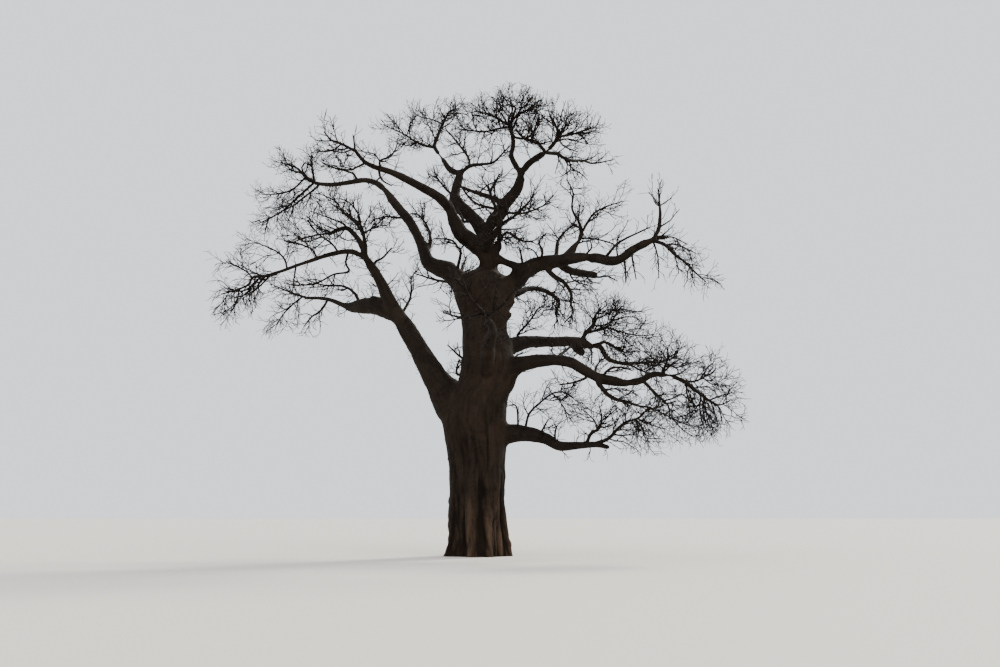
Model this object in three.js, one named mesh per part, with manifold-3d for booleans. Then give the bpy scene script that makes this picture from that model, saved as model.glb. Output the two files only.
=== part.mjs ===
// A leafless baobab tree, about 20 m tall: a stout fluted trunk, crooked tapering boughs, and sprays of bare
// twigs at their ends. Millimetres, +Z up, +Y away from the side it is seen from, and the origin at the middle
// of the trunk's flat foot.
import * as THREE from "three";
import Module from "manifold-3d";

const wasm = await Module();
wasm.setup();

// Driving sizes
const GAP = 0.3; // clear space between a limb and what carries it
const TRUNK_TOP = 12250;
const FLARE = 130; // how far the root flare stands out at the ground
const FLARE_HEIGHT = 900;
const FLUTE_DEPTH = 0.055; // share of the radius, at the ground
const FLUTE_HEIGHT = 3200;
const FLUTES = [
  { share: 0.5, folds: 5, turn: 0.6 },
  { share: 0.35, folds: 8, turn: 2.1 },
  { share: 0.25, folds: 3, turn: 4 },
];
const TRUNK_SIDES = 30;
const THICK_LIMB = 300; // limbs thicker than this have more sides
const SAMPLES_PER_SPAN = 10;
const LIMB_STEP = 700; // a bough has a ring at least this far from the last
const CLEAR_OF_LIMBS = 100; // a twig passes no nearer to a limb than this
const SAMPLE_STEP = 100;
const LOWEST_TWIG = 3800;
const FIRST_TWIG = 0.12; // the share of a stem below its first twig
const FOOT_SHARE = 0.8; // a twig is no thicker than this share of its stem

// Every place is written as it lines up from a spot in front of the tree: how far across and how high it looks
// in the plane of the trunk, and how far behind (+) or before (-) that plane it really is.
const SIGHT = { distance: 40500, eye: 1630, across: 920 };

const BARK = new THREE.MeshStandardMaterial({ color: 0x4f453c, roughness: 0.92, metalness: 0 });
const YOUNG_BARK = new THREE.MeshStandardMaterial({ color: 0x5a4f45, roughness: 0.9, metalness: 0 });
const TWIG_BARK = new THREE.MeshStandardMaterial({ color: 0x453b33, roughness: 0.88, metalness: 0 });

// The trunk's outline: height, middle of its width, and half its width.
const TRUNK_OUTLINE = [
  [0, 0, 1250],
  [500, 0, 1230],
  [1300, -30, 1185],
  [2600, -50, 1150],
  [3600, -50, 1180],
  [4500, -80, 1290],
  [5500, -170, 1370],
  [6300, -150, 1360],
  [7100, 120, 1290],
  [7900, 350, 1230],
  [8700, 330, 1080],
  [9400, 240, 960],
  [10000, 260, 1030],
  [10600, 260, 1230],
  [11200, 230, 1390],
  [11600, 190, 1240],
  [11950, 230, 960],
  [TRUNK_TOP, 300, 560],
];

// Boughs: name, what carries it, its foot [across, up, thickness], and its knots
// [across, up, depth, thickness].
const BOUGHS = [
  ["low_left_bough", "trunk", [-150, 5000, 1500],
    [-850, 6150, -150, 1330], [-1600, 7150, -450, 1050], [-2400, 8450, -900, 850],
    [-3100, 9600, -1300, 760], [-3750, 10600, -1650, 600], [-4250, 11600, -2000, 440],
    [-4950, 12650, -2300, 340]],
  ["low_left_arm", "low_left_bough", [-4820, 12450, 250],
    [-5450, 12780, -2500, 240], [-6300, 12680, -2900, 210], [-7200, 12380, -3400, 180],
    [-8000, 12100, -3800, 150]],
  ["low_left_spur", "low_left_bough", [-3450, 10050, 760],
    [-4250, 10420, -900, 740], [-4900, 10400, -300, 620], [-5350, 10340, 200, 480],
    [-5750, 10430, 700, 230], [-6500, 10700, 1600, 170], [-7400, 10740, 2700, 130]],
  ["upper_left_bough", "trunk", [150, 10800, 1250],
    [-700, 11500, 150, 1020], [-1500, 12000, 350, 760], [-2150, 12550, 650, 640],
    [-2520, 13400, 1000, 500], [-2930, 14200, 1350, 430], [-3550, 15000, 1700, 380], [-4050, 15600, 2000, 320]],
  ["upper_left_arm", "upper_left_bough", [-3980, 15500, 300],
    [-4450, 15860, 2300, 260], [-5000, 16000, 2600, 230], [-5800, 15880, 3000, 210],
    [-6400, 15800, 3300, 200], [-7100, 15850, 3700, 160]],
  ["crown_left_bough", "trunk", [180, 11600, 900],
    [100, 12500, -200, 800], [-250, 13200, -350, 740], [-750, 14000, -650, 620], [-1150, 14850, -950, 520]],
  ["crown_left_arm", "crown_left_bough", [-1100, 14700, 480],
    [-1700, 15350, -1500, 440], [-2500, 15720, -2100, 400], [-3300, 16120, -2700, 360],
    [-4000, 16430, -3200, 280], [-4600, 16620, -3600, 230], [-5050, 16880, -3900, 190],
    [-5500, 17450, -4300, 150]],
  ["crown_right_bough", "trunk", [480, 11600, 900],
    [480, 12600, -50, 860], [600, 13500, -200, 760], [850, 14300, -400, 640],
    [1220, 15000, -650, 540], [1680, 15620, -850, 470], [1850, 16380, -1050, 340]],
  ["crown_mid_bough", "crown_right_bough", [480, 12900, 520],
    [280, 13450, 350, 520], [-300, 14330, 700, 470], [-830, 14980, 1000, 420],
    [-1000, 15500, 1250, 390], [-880, 16050, 1450, 370], [-780, 16420, 1600, 320]],
  ["crown_mid_arm", "crown_mid_bough", [-800, 16330, 280],
    [-1250, 16480, 1800, 270], [-1520, 16850, 2000, 210], [-1720, 17150, 2150, 185]],
  ["crown_top_arm", "crown_right_bough", [1840, 16280, 260],
    [1600, 16800, -1050, 240], [1420, 17150, -1100, 225], [1500, 17600, -1150, 210],
    [1470, 18050, -1200, 190], [1320, 18500, -1300, 165]],
  ["crown_right_arm", "crown_right_bough", [1840, 16280, 300],
    [2150, 16820, -1300, 300], [2550, 17120, -1800, 280], [3000, 17330, -2300, 230]],
  ["upper_right_bough", "trunk", [350, 10700, 1200],
    [1200, 11500, -200, 1000], [1900, 11950, -500, 800], [2700, 12250, -900, 660],
    [3600, 12400, -1400, 520], [4600, 12540, -2000, 390]],
  ["upper_right_arm", "upper_right_bough", [4450, 12520, 380],
    [5100, 12460, -2300, 380], [5650, 12360, -2650, 420], [6100, 12450, -2900, 390],
    [6600, 12830, -3150, 350], [7150, 13130, -3350, 360], [7600, 13320, -3550, 320]],
  ["upper_right_spur", "upper_right_bough", [3300, 12350, 380],
    [3900, 11980, -700, 330], [4500, 11870, -200, 320], [5000, 11800, 150, 290]],
  ["mid_right_bough", "trunk", [400, 8300, 1000],
    [1400, 8650, 600, 740], [2200, 8840, 1200, 530], [3200, 8840, 1900, 440],
    [4200, 8850, 2600, 450], [4800, 8620, 3000, 330]],
  ["mid_right_arm", "mid_right_bough", [4720, 8660, 260],
    [5150, 8620, 3300, 240], [5400, 8200, 3600, 220], [5700, 8000, 3900, 185], [6300, 7880, 4400, 160]],
  ["broad_right_bough", "trunk", [450, 7000, 1250],
    [1300, 7700, -350, 900], [2200, 7970, -750, 620], [3200, 8050, -1150, 480],
    [3900, 7950, -1500, 470], [4500, 7600, -1800, 460], [5100, 7280, -2050, 460], [5700, 7160, -2300, 430],
    [6200, 7050, -2500, 400]],
  ["broad_right_arm", "broad_right_bough", [6080, 7080, 360],
    [6800, 7180, -2650, 310], [7350, 7450, -2800, 260], [8100, 7400, -3000, 200]],
  ["low_right_bough", "trunk", [250, 4500, 1150],
    [1150, 4930, -200, 880], [2000, 4960, -600, 660], [2800, 4750, -1100, 480], [3400, 4440, -1600, 420],
    [4200, 4470, -2200, 310], [4900, 4510, -2800, 250], [5400, 4400, -3200, 190]],
  ["rear_bough", "trunk", [250, 8700, 850],
    [300, 9700, 1900, 600], [250, 10500, 4000, 430], [-200, 11100, 6000, 280]],
  ["rear_left_bough", "trunk", [-200, 6700, 900],
    [-1000, 7300, 1700, 600], [-2300, 8500, 3500, 420], [-3000, 9750, 5200, 260]],
  ["rear_low_bough", "trunk", [150, 6200, 900],
    [250, 7000, 1800, 600], [350, 7500, 3700, 430], [100, 7900, 5600, 280]],
  ["front_bough", "trunk", [300, 7700, 900],
    [400, 8600, -1900, 600], [600, 9250, -3900, 420], [450, 9800, -5800, 270]],
];

// Sprays of bare twigs: name, what carries it, how far its twigs may stand off, how they rise, the stem's
// foot and knots as above, then side stems, each with its own foot on the stems before it.
const SPRAYS = [
  ["low_left_end_twigs", "low_left_arm", 950, -0.05, [[-7900, 12130, 130],
    [-8500, 11900, -4000, 130], [-9100, 11720, -4300, 115], [-9650, 11650, -4500, 95],
    [-9850, 11320, -4600, 80], [-10350, 11080, -4800, 65], [-11000, 10900, -5000, 40]],
    [[-9650, 11600, 60], [-10050, 11960, -4400, 50], [-10850, 12330, -4600, 25]],
    [[-10250, 11120, 50], [-10300, 10600, -4500, 45], [-10550, 10100, -4300, 25]],
    [[-8200, 12000, 75], [-8350, 12450, -3800, 70], [-8750, 12820, -3600, 50], [-9700, 13220, -3700, 25]]],
  ["low_left_inner_twigs", "low_left_arm", 1000, 0.08, [[-6050, 12700, 85],
    [-6350, 13150, -2500, 75], [-6900, 13550, -2250, 55], [-7450, 14200, -2100, 30]],
    [[-6800, 13480, 50], [-7500, 13230, -2700, 40], [-8100, 13700, -2900, 25]]],
  ["low_left_spur_twigs", "low_left_spur", 1050, -0.12, [[-7300, 10730, 110],
    [-7950, 10950, 3100, 80], [-8750, 11280, 3400, 35]],
    [[-7500, 10800, 75], [-7950, 10420, 3300, 65], [-8350, 9950, 3700, 45], [-8600, 9450, 4000, 25]]],
  ["low_left_hook_twigs", "low_left_bough", 900, 0.15, [[-4880, 12560, 290],
    [-5150, 13250, -2000, 260], [-5600, 13800, -1700, 215], [-6000, 13780, -1500, 190],
    [-6500, 13550, -1300, 140]],
    [[-6350, 13620, 70], [-6950, 13900, -1200, 50], [-7450, 14350, -1100, 25]]],
  ["low_left_crown_twigs", "low_left_bough", 1100, 0.15, [[-4820, 12450, 190],
    [-4950, 13400, -3100, 150], [-5150, 14000, -3700, 110], [-5700, 14420, -4400, 70],
    [-6500, 15000, -5400, 30]],
    [[-5000, 13550, 60], [-4500, 13880, -3500, 45], [-4000, 13950, -3900, 25]]],
  ["upper_left_fan_twigs", "upper_left_arm", 950, 0.1, [[-6980, 15840, 140],
    [-7500, 16050, 3900, 120], [-7950, 16550, 4100, 80], [-8700, 16820, 4300, 30]],
    [[-7180, 15900, 95], [-7280, 16450, 3500, 80], [-7330, 17100, 3300, 35]],
    [[-7180, 15900, 100], [-7700, 15400, 4200, 95], [-8600, 14550, 4600, 65], [-9500, 14050, 4900, 30]],
    [[-7620, 16150, 65], [-8100, 15600, 3600, 60], [-8700, 15380, 3500, 45], [-9450, 15350, 3400, 25]]],
  ["crown_left_end_twigs", "crown_left_arm", 900, 0.15, [[-5430, 17330, 130],
    [-6000, 17650, -4600, 105], [-6500, 17850, -4900, 70], [-6850, 18250, -5100, 30]],
    [[-5600, 17450, 60], [-5950, 17280, -4800, 45], [-6500, 17400, -5100, 25]]],
  ["crown_left_side_twigs", "crown_left_arm", 850, 0.15, [[-4300, 16530, 100],
    [-4330, 16900, -3700, 85], [-3900, 17080, -4000, 60], [-3650, 17500, -4300, 45], [-3600, 17950, -4500, 25]],
    [[-4330, 16860, 55], [-4600, 17200, -3400, 45], [-5100, 17320, -3200, 25]]],
  ["crown_mid_twigs", "crown_mid_arm", 950, 0.15, [[-1640, 17050, 165],
    [-1950, 17550, 2300, 165], [-1820, 18050, 2450, 140], [-1650, 18500, 2600, 115],
    [-1450, 18950, 2700, 90], [-1300, 19200, 2800, 65], [-900, 19350, 2900, 30]],
    [[-1930, 17500, 120], [-2450, 17620, 2900, 105], [-2900, 17850, 3200, 80], [-3300, 18120, 3500, 60],
      [-4200, 18550, 3900, 25]],
    [[-1600, 18600, 55], [-2050, 18800, 2900, 45], [-2650, 18950, 3100, 25]],
    [[-3200, 18050, 45], [-3050, 18550, 3300, 35], [-2900, 19050, 3200, 20]]],
  ["crown_mid_right_twigs", "crown_mid_bough", 1000, 0.12, [[-800, 16330, 230],
    [-420, 16650, 1500, 180], [100, 16730, 1300, 120], [600, 16820, 1100, 95], [1050, 17250, 900, 65],
    [1400, 17650, 700, 35]],
    [[-430, 16640, 110], [-480, 17050, 1900, 100], [-1000, 17800, 2600, 75], [-1500, 18400, 3200, 30]]],
  ["crown_cross_twigs", "crown_right_bough", 850, 0.1, [[1150, 14880, 300],
    [550, 15220, -500, 240], [-100, 15420, -300, 180], [-800, 15720, -200, 90]],
    [[0, 15400, 60], [500, 15850, -600, 45], [1150, 15980, -700, 25]]],
  ["crown_top_twigs", "crown_top_arm", 1050, 0.2, [[1350, 18400, 150],
    [1480, 18950, -1500, 120], [1600, 19350, -1600, 80], [1380, 19550, -1700, 35]],
    [[1370, 18520, 110], [900, 18800, -900, 100], [400, 19080, -500, 60], [-250, 19200, 0, 25]],
    [[1370, 18480, 90], [800, 18380, -1700, 80], [200, 18250, -2200, 65], [-900, 18380, -2900, 25]],
    [[1450, 18850, 70], [1900, 19150, -2000, 55], [2350, 19350, -2400, 25]]],
  ["crown_top_right_twigs", "crown_top_arm", 950, 0.18, [[1480, 18000, 100],
    [1950, 17920, -1800, 90], [2330, 18130, -2200, 75], [2520, 18600, -2600, 55], [2620, 18950, -3000, 30]],
    [[1950, 17920, 60], [2600, 17700, -2400, 50], [3200, 17800, -2900, 25]]],
  ["right_dome_twigs", "crown_right_arm", 1150, 0.2, [[2920, 17300, 190],
    [3300, 17700, -2600, 160], [3500, 18050, -2900, 130], [3350, 18600, -3200, 75], [3100, 19100, -3500, 35]],
    [[3500, 18000, 95], [4200, 18150, -3300, 75], [4950, 18450, -3700, 30]],
    [[3400, 17850, 60], [3950, 17900, -2300, 50], [4600, 17700, -1900, 25]]],
  ["right_tail_twigs", "crown_right_arm", 850, 0.02, [[2920, 17300, 170],
    [3450, 17200, -1600, 160], [3950, 16920, -700, 130], [4550, 16900, 300, 105], [5050, 16780, 1200, 70],
    [5900, 16950, 2200, 25]],
    [[3950, 16920, 65], [4000, 16480, -400, 50], [3550, 16150, -100, 25]]],
  ["riser_left_twigs", "upper_right_bough", 850, 0.12, [[3330, 12350, 220],
    [3380, 13000, -700, 170], [3480, 13350, -300, 110], [3850, 13800, 200, 70], [4250, 14000, 600, 30]]],
  ["riser_twigs", "upper_right_bough", 1100, 0.12, [[3850, 12440, 260],
    [4200, 13050, -1500, 230], [4430, 13600, -1300, 180], [4330, 14100, -1000, 115], [4050, 14720, -700, 80],
    [4100, 15400, -500, 60], [3850, 16050, -300, 25]],
    [[4430, 13600, 110], [4750, 14150, -1500, 95], [5050, 14550, -1700, 75], [5600, 14820, -1900, 50],
      [6250, 15050, -2100, 25]],
    [[4350, 13400, 75], [5000, 13350, -1900, 65], [5600, 13200, -2100, 55], [6050, 12980, -2300, 30]]],
  ["horn_twigs", "upper_right_arm", 850, 0.2, [[7500, 13280, 200],
    [7780, 13800, -3500, 180], [7860, 14400, -3400, 130], [7850, 14950, -3300, 85], [7800, 15650, -3200, 30]],
    [[7860, 14850, 45], [7420, 15450, -3100, 25]],
    [[7860, 14850, 45], [8400, 15200, -3400, 25]]],
  ["tail_twigs", "upper_right_arm", 900, -0.1, [[7500, 13280, 170],
    [8000, 13100, -3900, 150], [8450, 12650, -4200, 120], [8850, 12330, -4400, 90], [9300, 11850, -4600, 60],
    [9750, 11430, -4800, 30]],
    [[8000, 13100, 60], [8600, 13080, -3700, 50], [9350, 12700, -3600, 25]]],
  ["hanging_twigs", "upper_right_bough", 800, -0.08, [[2700, 12200, 260],
    [3250, 11700, -1300, 220], [3700, 11380, -1600, 170], [3950, 10900, -1800, 130], [3950, 10450, -2000, 95],
    [4020, 10100, -2100, 65], [3650, 9650, -2200, 35]],
    [[3700, 11380, 55], [4300, 11500, -1900, 45], [4900, 11350, -2100, 25]]],
  ["short_right_twigs", "trunk", 750, -0.08, [[800, 10500, 360],
    [1500, 10850, 900, 290], [2100, 11150, 1700, 245], [2700, 11100, 2400, 210], [3300, 10750, 3100, 180],
    [3430, 10450, 3500, 130], [3300, 10150, 3800, 80], [3400, 9600, 4100, 35]],
    [[3300, 10750, 55], [3900, 10560, 3700, 45], [4300, 10500, 4200, 25]]],
  ["mid_right_end_twigs", "mid_right_arm", 1200, 0.08, [[6180, 7900, 140],
    [7000, 7950, 5000, 110], [7700, 7980, 5500, 70], [8400, 8200, 5900, 30]],
    [[6300, 7880, 80], [6950, 7580, 4200, 65], [7700, 7350, 4000, 30]]],
  ["mid_right_rise_twigs", "mid_right_bough", 1050, 0.12, [[4400, 8820, 230],
    [4550, 9200, 2800, 190], [4900, 9600, 2900, 150], [5000, 10000, 3000, 85], [5250, 10400, 3100, 35]],
    [[4550, 9200, 110], [5000, 9330, 3300, 105], [5500, 9430, 3800, 80], [6000, 9280, 4300, 60],
      [6700, 9120, 4900, 40], [7450, 9130, 5400, 20]],
    [[4850, 9520, 65], [5450, 9600, 3500, 60], [5850, 9980, 4000, 45], [6120, 10380, 4300, 25]]],
  ["broad_right_end_twigs", "broad_right_arm", 1050, -0.08, [[8000, 7420, 180],
    [8700, 7120, -3150, 165], [9230, 6680, -3250, 125], [9700, 6330, -3300, 90], [10100, 6150, -3350, 60],
    [10600, 6380, -3400, 25]],
    [[9450, 6500, 55], [9400, 5900, -2900, 45], [9550, 5150, -2700, 25]],
    [[10000, 6180, 45], [10130, 5750, -3500, 35], [10180, 5350, -3600, 20]],
    [[8450, 7220, 85], [9000, 7150, -2800, 75], [9500, 7330, -2600, 60], [9900, 7750, -2500, 25]],
    [[9450, 7300, 45], [9800, 7050, -2500, 40], [10400, 6980, -2400, 20]]],
  ["broad_right_rise_twigs", "broad_right_arm", 1000, 0.1, [[7700, 7450, 110],
    [7900, 7850, -2900, 95], [8000, 8150, -2850, 65], [7970, 8650, -2800, 25]],
    [[7920, 7880, 60], [8400, 7750, -2600, 50], [9000, 7950, -2400, 25]],
    [[7800, 7650, 60], [7450, 8050, -3300, 50], [7000, 8450, -3600, 25]]],
  ["broad_right_under_twigs", "broad_right_bough", 900, -0.08, [[4850, 7400, 240],
    [5200, 6850, -2500, 205], [5650, 6450, -2900, 165], [6150, 6300, -3200, 110], [6700, 6130, -3700, 80],
    [7300, 6000, -4200, 60], [8100, 5600, -4700, 40], [8800, 5280, -5100, 20]]],
  ["broad_right_drop_twigs", "broad_right_arm", 1000, -0.1, [[6850, 7210, 150],
    [7150, 6950, -2300, 130], [7450, 6600, -2000, 110], [7750, 6350, -1700, 90], [7970, 6050, -1500, 65],
    [8000, 5550, -1400, 30]],
    [[7780, 6320, 65], [8200, 6450, -1400, 55], [8550, 6600, -1200, 45], [9100, 6100, -1000, 25]]],
  ["low_right_end_twigs", "low_right_bough", 1050, -0.02, [[4750, 4510, 170],
    [5400, 4740, -3300, 145], [5800, 5150, -3800, 115], [6200, 5450, -4200, 100], [6700, 5620, -4600, 85],
    [7150, 6080, -4900, 35]],
    [[6650, 5600, 65], [7050, 5380, -4900, 50], [7850, 5130, -5300, 25]],
    [[6550, 5580, 55], [6850, 5200, -4300, 45], [6950, 4800, -4100, 35], [7600, 4750, -4000, 20]]],
  ["low_right_mid_twigs", "low_right_bough", 900, 0.05, [[4500, 4490, 150],
    [4700, 4950, -2300, 125], [5050, 5180, -2100, 100], [5150, 5700, -1900, 50], [5050, 6200, -1800, 25]],
    [[4950, 5120, 55], [4850, 5500, -1700, 45], [4400, 5950, -1500, 25]]],
  ["low_right_rise_twigs", "low_right_bough", 850, 0.02, [[1950, 5000, 110],
    [2150, 5800, -300, 90], [2600, 6250, 0, 75], [3150, 6650, 400, 60], [3700, 6650, 800, 45],
    [4250, 6200, 1100, 20]],
    [[3100, 6600, 45], [3500, 6200, 300, 35], [3750, 5500, 500, 20]]],
  ["rear_twigs", "rear_bough", 1500, 0.12, [[-180, 11080, 260],
    [-600, 11500, 7000, 200], [-700, 12000, 8000, 120], [-500, 12600, 8800, 40]],
    [[-250, 11150, 170], [600, 11500, 7200, 130], [1700, 11700, 8200, 40]],
    [[-500, 11400, 130], [-1700, 11500, 7600, 100], [-2700, 11800, 8600, 40]]],
  ["rear_left_twigs", "rear_left_bough", 1400, 0.12, [[-2950, 9700, 220],
    [-3600, 10500, 6200, 170], [-4000, 11300, 7000, 100], [-4600, 12100, 7700, 40]],
    [[-3250, 10050, 130], [-2900, 10800, 6500, 90], [-2900, 11700, 7200, 40]],
    [[-3500, 10400, 110], [-4400, 10300, 6500, 80], [-5300, 10600, 7200, 40]]],
  ["rear_low_twigs", "rear_low_bough", 1300, 0.08, [[120, 7880, 240],
    [500, 8150, 6500, 180], [700, 8600, 7400, 110], [500, 9300, 8200, 40]],
    [[150, 7920, 150], [-600, 8100, 6400, 110], [-1300, 8700, 7300, 40]],
    [[500, 8150, 110], [1200, 8050, 6900, 80], [1900, 8400, 7800, 40]]],
  ["front_high_twigs", "crown_left_bough", 1200, 0.14, [[50, 12700, 420],
    [500, 13300, -1300, 330], [900, 13900, -2700, 250], [800, 14600, -4000, 170], [500, 15400, -5200, 100],
    [900, 16300, -6000, 40]],
    [[850, 14000, 150], [1700, 14500, -3600, 110], [2400, 15300, -4600, 40]],
    [[750, 14700, 120], [-200, 15000, -4800, 90], [-900, 15900, -5800, 40]]],
  ["front_twigs", "front_bough", 1400, 0.12, [[470, 9750, 240],
    [100, 10200, -6900, 180], [-400, 10800, -7700, 110], [-700, 11600, -8300, 40]],
    [[350, 9900, 150], [1000, 10400, -7100, 110], [1500, 11100, -8000, 40]],
    [[200, 10050, 110], [-700, 9900, -7300, 80], [-1500, 10100, -8200, 40]]],
];

// How twigs branch, one row for each generation: the stem's length for each twig, its own length, the angle it
// leaves at, how it wanders, its steps, its thickness at foot and tip, and the steps where it has a ring.
const TWIGS = [
  { every: 850, length: 1350, lean: 54, wander: 0.3, steps: 4, foot: 46, tip: 12, rings: [0, 2] },
  { every: 1150, length: 750, lean: 50, wander: 0.34, steps: 3, foot: 30, tip: 9, rings: [0] },
];

const RADIANS = Math.PI / 180;
const GOLDEN_ANGLE = 137.5 * RADIANS;
const UP = new THREE.Vector3(0, 0, 1);
const NORTH = new THREE.Vector3(0, 1, 0);

function seenAt(across, up, depth) {
  const scale = 1 + depth / SIGHT.distance;
  return new THREE.Vector3(
    SIGHT.across + (across - SIGHT.across) * scale, depth, SIGHT.eye + (up - SIGHT.eye) * scale);
}

// How a point of the tree lines up from the spot in front of it.
function looks(point) {
  const scale = 1 + point.y / SIGHT.distance;
  return [SIGHT.across + (point.x - SIGHT.across) / scale, SIGHT.eye + (point.z - SIGHT.eye) / scale];
}

// A limb's line: a curve through its knots, and its radius at each point of it.
function lineThrough(points, radii) {
  const curve = new THREE.CatmullRomCurve3(points, false, "catmullrom", 0.5);
  const count = (points.length - 1) * SAMPLES_PER_SPAN;
  const line = [];
  for (let i = 0; i <= count; i++) {
    const share = i / count;
    const along = Math.min(share * (points.length - 1), points.length - 1 - 1e-9);
    const span = Math.floor(along);
    const radius = radii[span] + (radii[span + 1] - radii[span]) * (along - span);
    line.push({ at: curve.getPoint(share), radius });
  }
  return line;
}

// The samples of a line that are a step apart, with both ends.
function spaced(line, step) {
  const kept = [line[0]];
  for (const sample of line.slice(1, -1)) {
    const before = sample.at.distanceTo(kept.at(-1).at);
    const after = sample.at.distanceTo(line.at(-1).at);
    if (before >= step && after >= 0.6 * step) kept.push(sample);
  }
  return [...kept, line.at(-1)];
}

// The point of a carrier's line that lines up nearest to a place.
function footOn(line, across, up) {
  const off = (sample) => {
    const [x, z] = looks(sample.at);
    return Math.hypot(x - across, z - up);
  };
  return line.reduce((best, sample) => (off(sample) < off(best) ? sample : best)).at.clone();
}

function limbLine(carrier, [foot, ...knots]) {
  const scaled = knots.map(([, , depth, thickness]) => (thickness / 2) * (1 + depth / SIGHT.distance));
  const points = [footOn(carrier, foot[0], foot[1]), ...knots.map(([x, z, y]) => seenAt(x, z, y))];
  return lineThrough(points, [(foot[2] / 2) * (1 + points[0].y / SIGHT.distance), ...scaled]);
}

// A direction square to a line's own, level where the line isn't steep.
function sideOf(ahead) {
  return new THREE.Vector3().crossVectors(ahead, Math.abs(ahead.z) > 0.9 ? NORTH : UP).normalize();
}

// A closed solid from rings of points, each ring with the same number; a ring of one point closes to a tip.
function solidFromRings(rings) {
  const points = rings.flat();
  const starts = rings.map((_, i) => rings.slice(0, i).reduce((sum, ring) => sum + ring.length, 0));
  const faces = [];
  for (let i = 0; i + 1 < rings.length; i++) {
    const sides = rings[i].length;
    for (let s = 0; s < sides; s++) {
      const next = (s + 1) % sides;
      const a = starts[i] + s;
      const b = starts[i] + next;
      if (rings[i + 1].length === 1) {
        faces.push(a, b, starts[i + 1]);
        continue;
      }
      const c = starts[i + 1] + s;
      const d = starts[i + 1] + next;
      faces.push(a, b, d, a, d, c);
    }
  }
  const last = rings.length - 1;
  for (let s = 1; s + 1 < rings[0].length; s++) faces.push(0, s + 1, s);
  for (let s = 1; s + 1 < rings[last].length; s++) {
    faces.push(starts[last], starts[last] + s, starts[last] + s + 1);
  }
  const vertProperties = new Float32Array(points.flatMap((p) => [p.x, p.y, p.z]));
  return new wasm.Manifold(new wasm.Mesh({ numProp: 3, vertProperties, triVerts: new Uint32Array(faces) }));
}

// Rings round a line, turned as little as possible from one to the next. Grown by a clearance for cutting.
function tube(line, sides, grow = 0, pointed = false) {
  const last = line.length - 1;
  const tangent = (i) => line[Math.min(i + 1, last)].at.clone().sub(line[Math.max(i - 1, 0)].at).normalize();
  const side = sideOf(tangent(0));
  const rings = line.map(({ at, radius }, i) => {
    const ahead = tangent(i);
    side.addScaledVector(ahead, -side.dot(ahead)).normalize();
    const other = new THREE.Vector3().crossVectors(ahead, side);
    const middle = at.clone();
    if (i === last) middle.addScaledVector(ahead, grow);
    if (i === last && pointed) return [middle];
    return Array.from({ length: sides }, (_, s) => {
      const angle = (s / sides) * 2 * Math.PI;
      return middle.clone()
        .addScaledVector(side, Math.cos(angle) * (radius + grow))
        .addScaledVector(other, Math.sin(angle) * (radius + grow));
    });
  });
  return solidFromRings(rings);
}

// The trunk's half width towards an angle: round, with flutes that fade upwards and a flare at the ground.
function trunkRadius(halfWidth, angle, height) {
  const fade = Math.exp(-height / FLUTE_HEIGHT);
  const flutes = FLUTES.reduce((sum, { share, folds, turn }) => sum + share * Math.cos(folds * angle + turn), 0);
  const flare = FLARE * Math.exp(-height / FLARE_HEIGHT) * (0.7 + 1.2 * flutes);
  return halfWidth * (1 + FLUTE_DEPTH * (0.25 + fade) * flutes) + flare * fade;
}

function trunkSolid(grow = 0) {
  const rings = TRUNK_OUTLINE.map(([height, middle, halfWidth], i) =>
    Array.from({ length: TRUNK_SIDES }, (_, s) => {
      const angle = (s / TRUNK_SIDES) * 2 * Math.PI;
      const radius = trunkRadius(halfWidth, angle, height) + grow;
      const top = i === TRUNK_OUTLINE.length - 1 ? grow : 0;
      return new THREE.Vector3(middle + radius * Math.cos(angle), radius * Math.sin(angle), height + top);
    }));
  return solidFromRings(rings);
}

// Chance without a state: the same number each time for one twig and one question.
function mix(number) {
  let h = number >>> 0;
  h = Math.imul(h ^ (h >>> 16), 0x7feb352d) >>> 0;
  h = Math.imul(h ^ (h >>> 15), 0x846ca68b) >>> 0;
  return (h ^ (h >>> 16)) >>> 0;
}
const chance = (id, question) => mix(id ^ Math.imul(question + 1, 0x9e3779b9)) / 2 ** 32;

const lengthOf = (line) => line.slice(1).reduce((sum, { at }, i) => sum + at.distanceTo(line[i].at), 0);

function pointAlong(line, share) {
  const along = Math.min(share * (line.length - 1), line.length - 1 - 1e-9);
  const span = Math.floor(along);
  const part = along - span;
  const ahead = line[span + 1].at.clone().sub(line[span].at).normalize();
  return {
    at: line[span].at.clone().lerp(line[span + 1].at, part),
    radius: line[span].radius + (line[span + 1].radius - line[span].radius) * part,
    ahead,
  };
}

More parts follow.
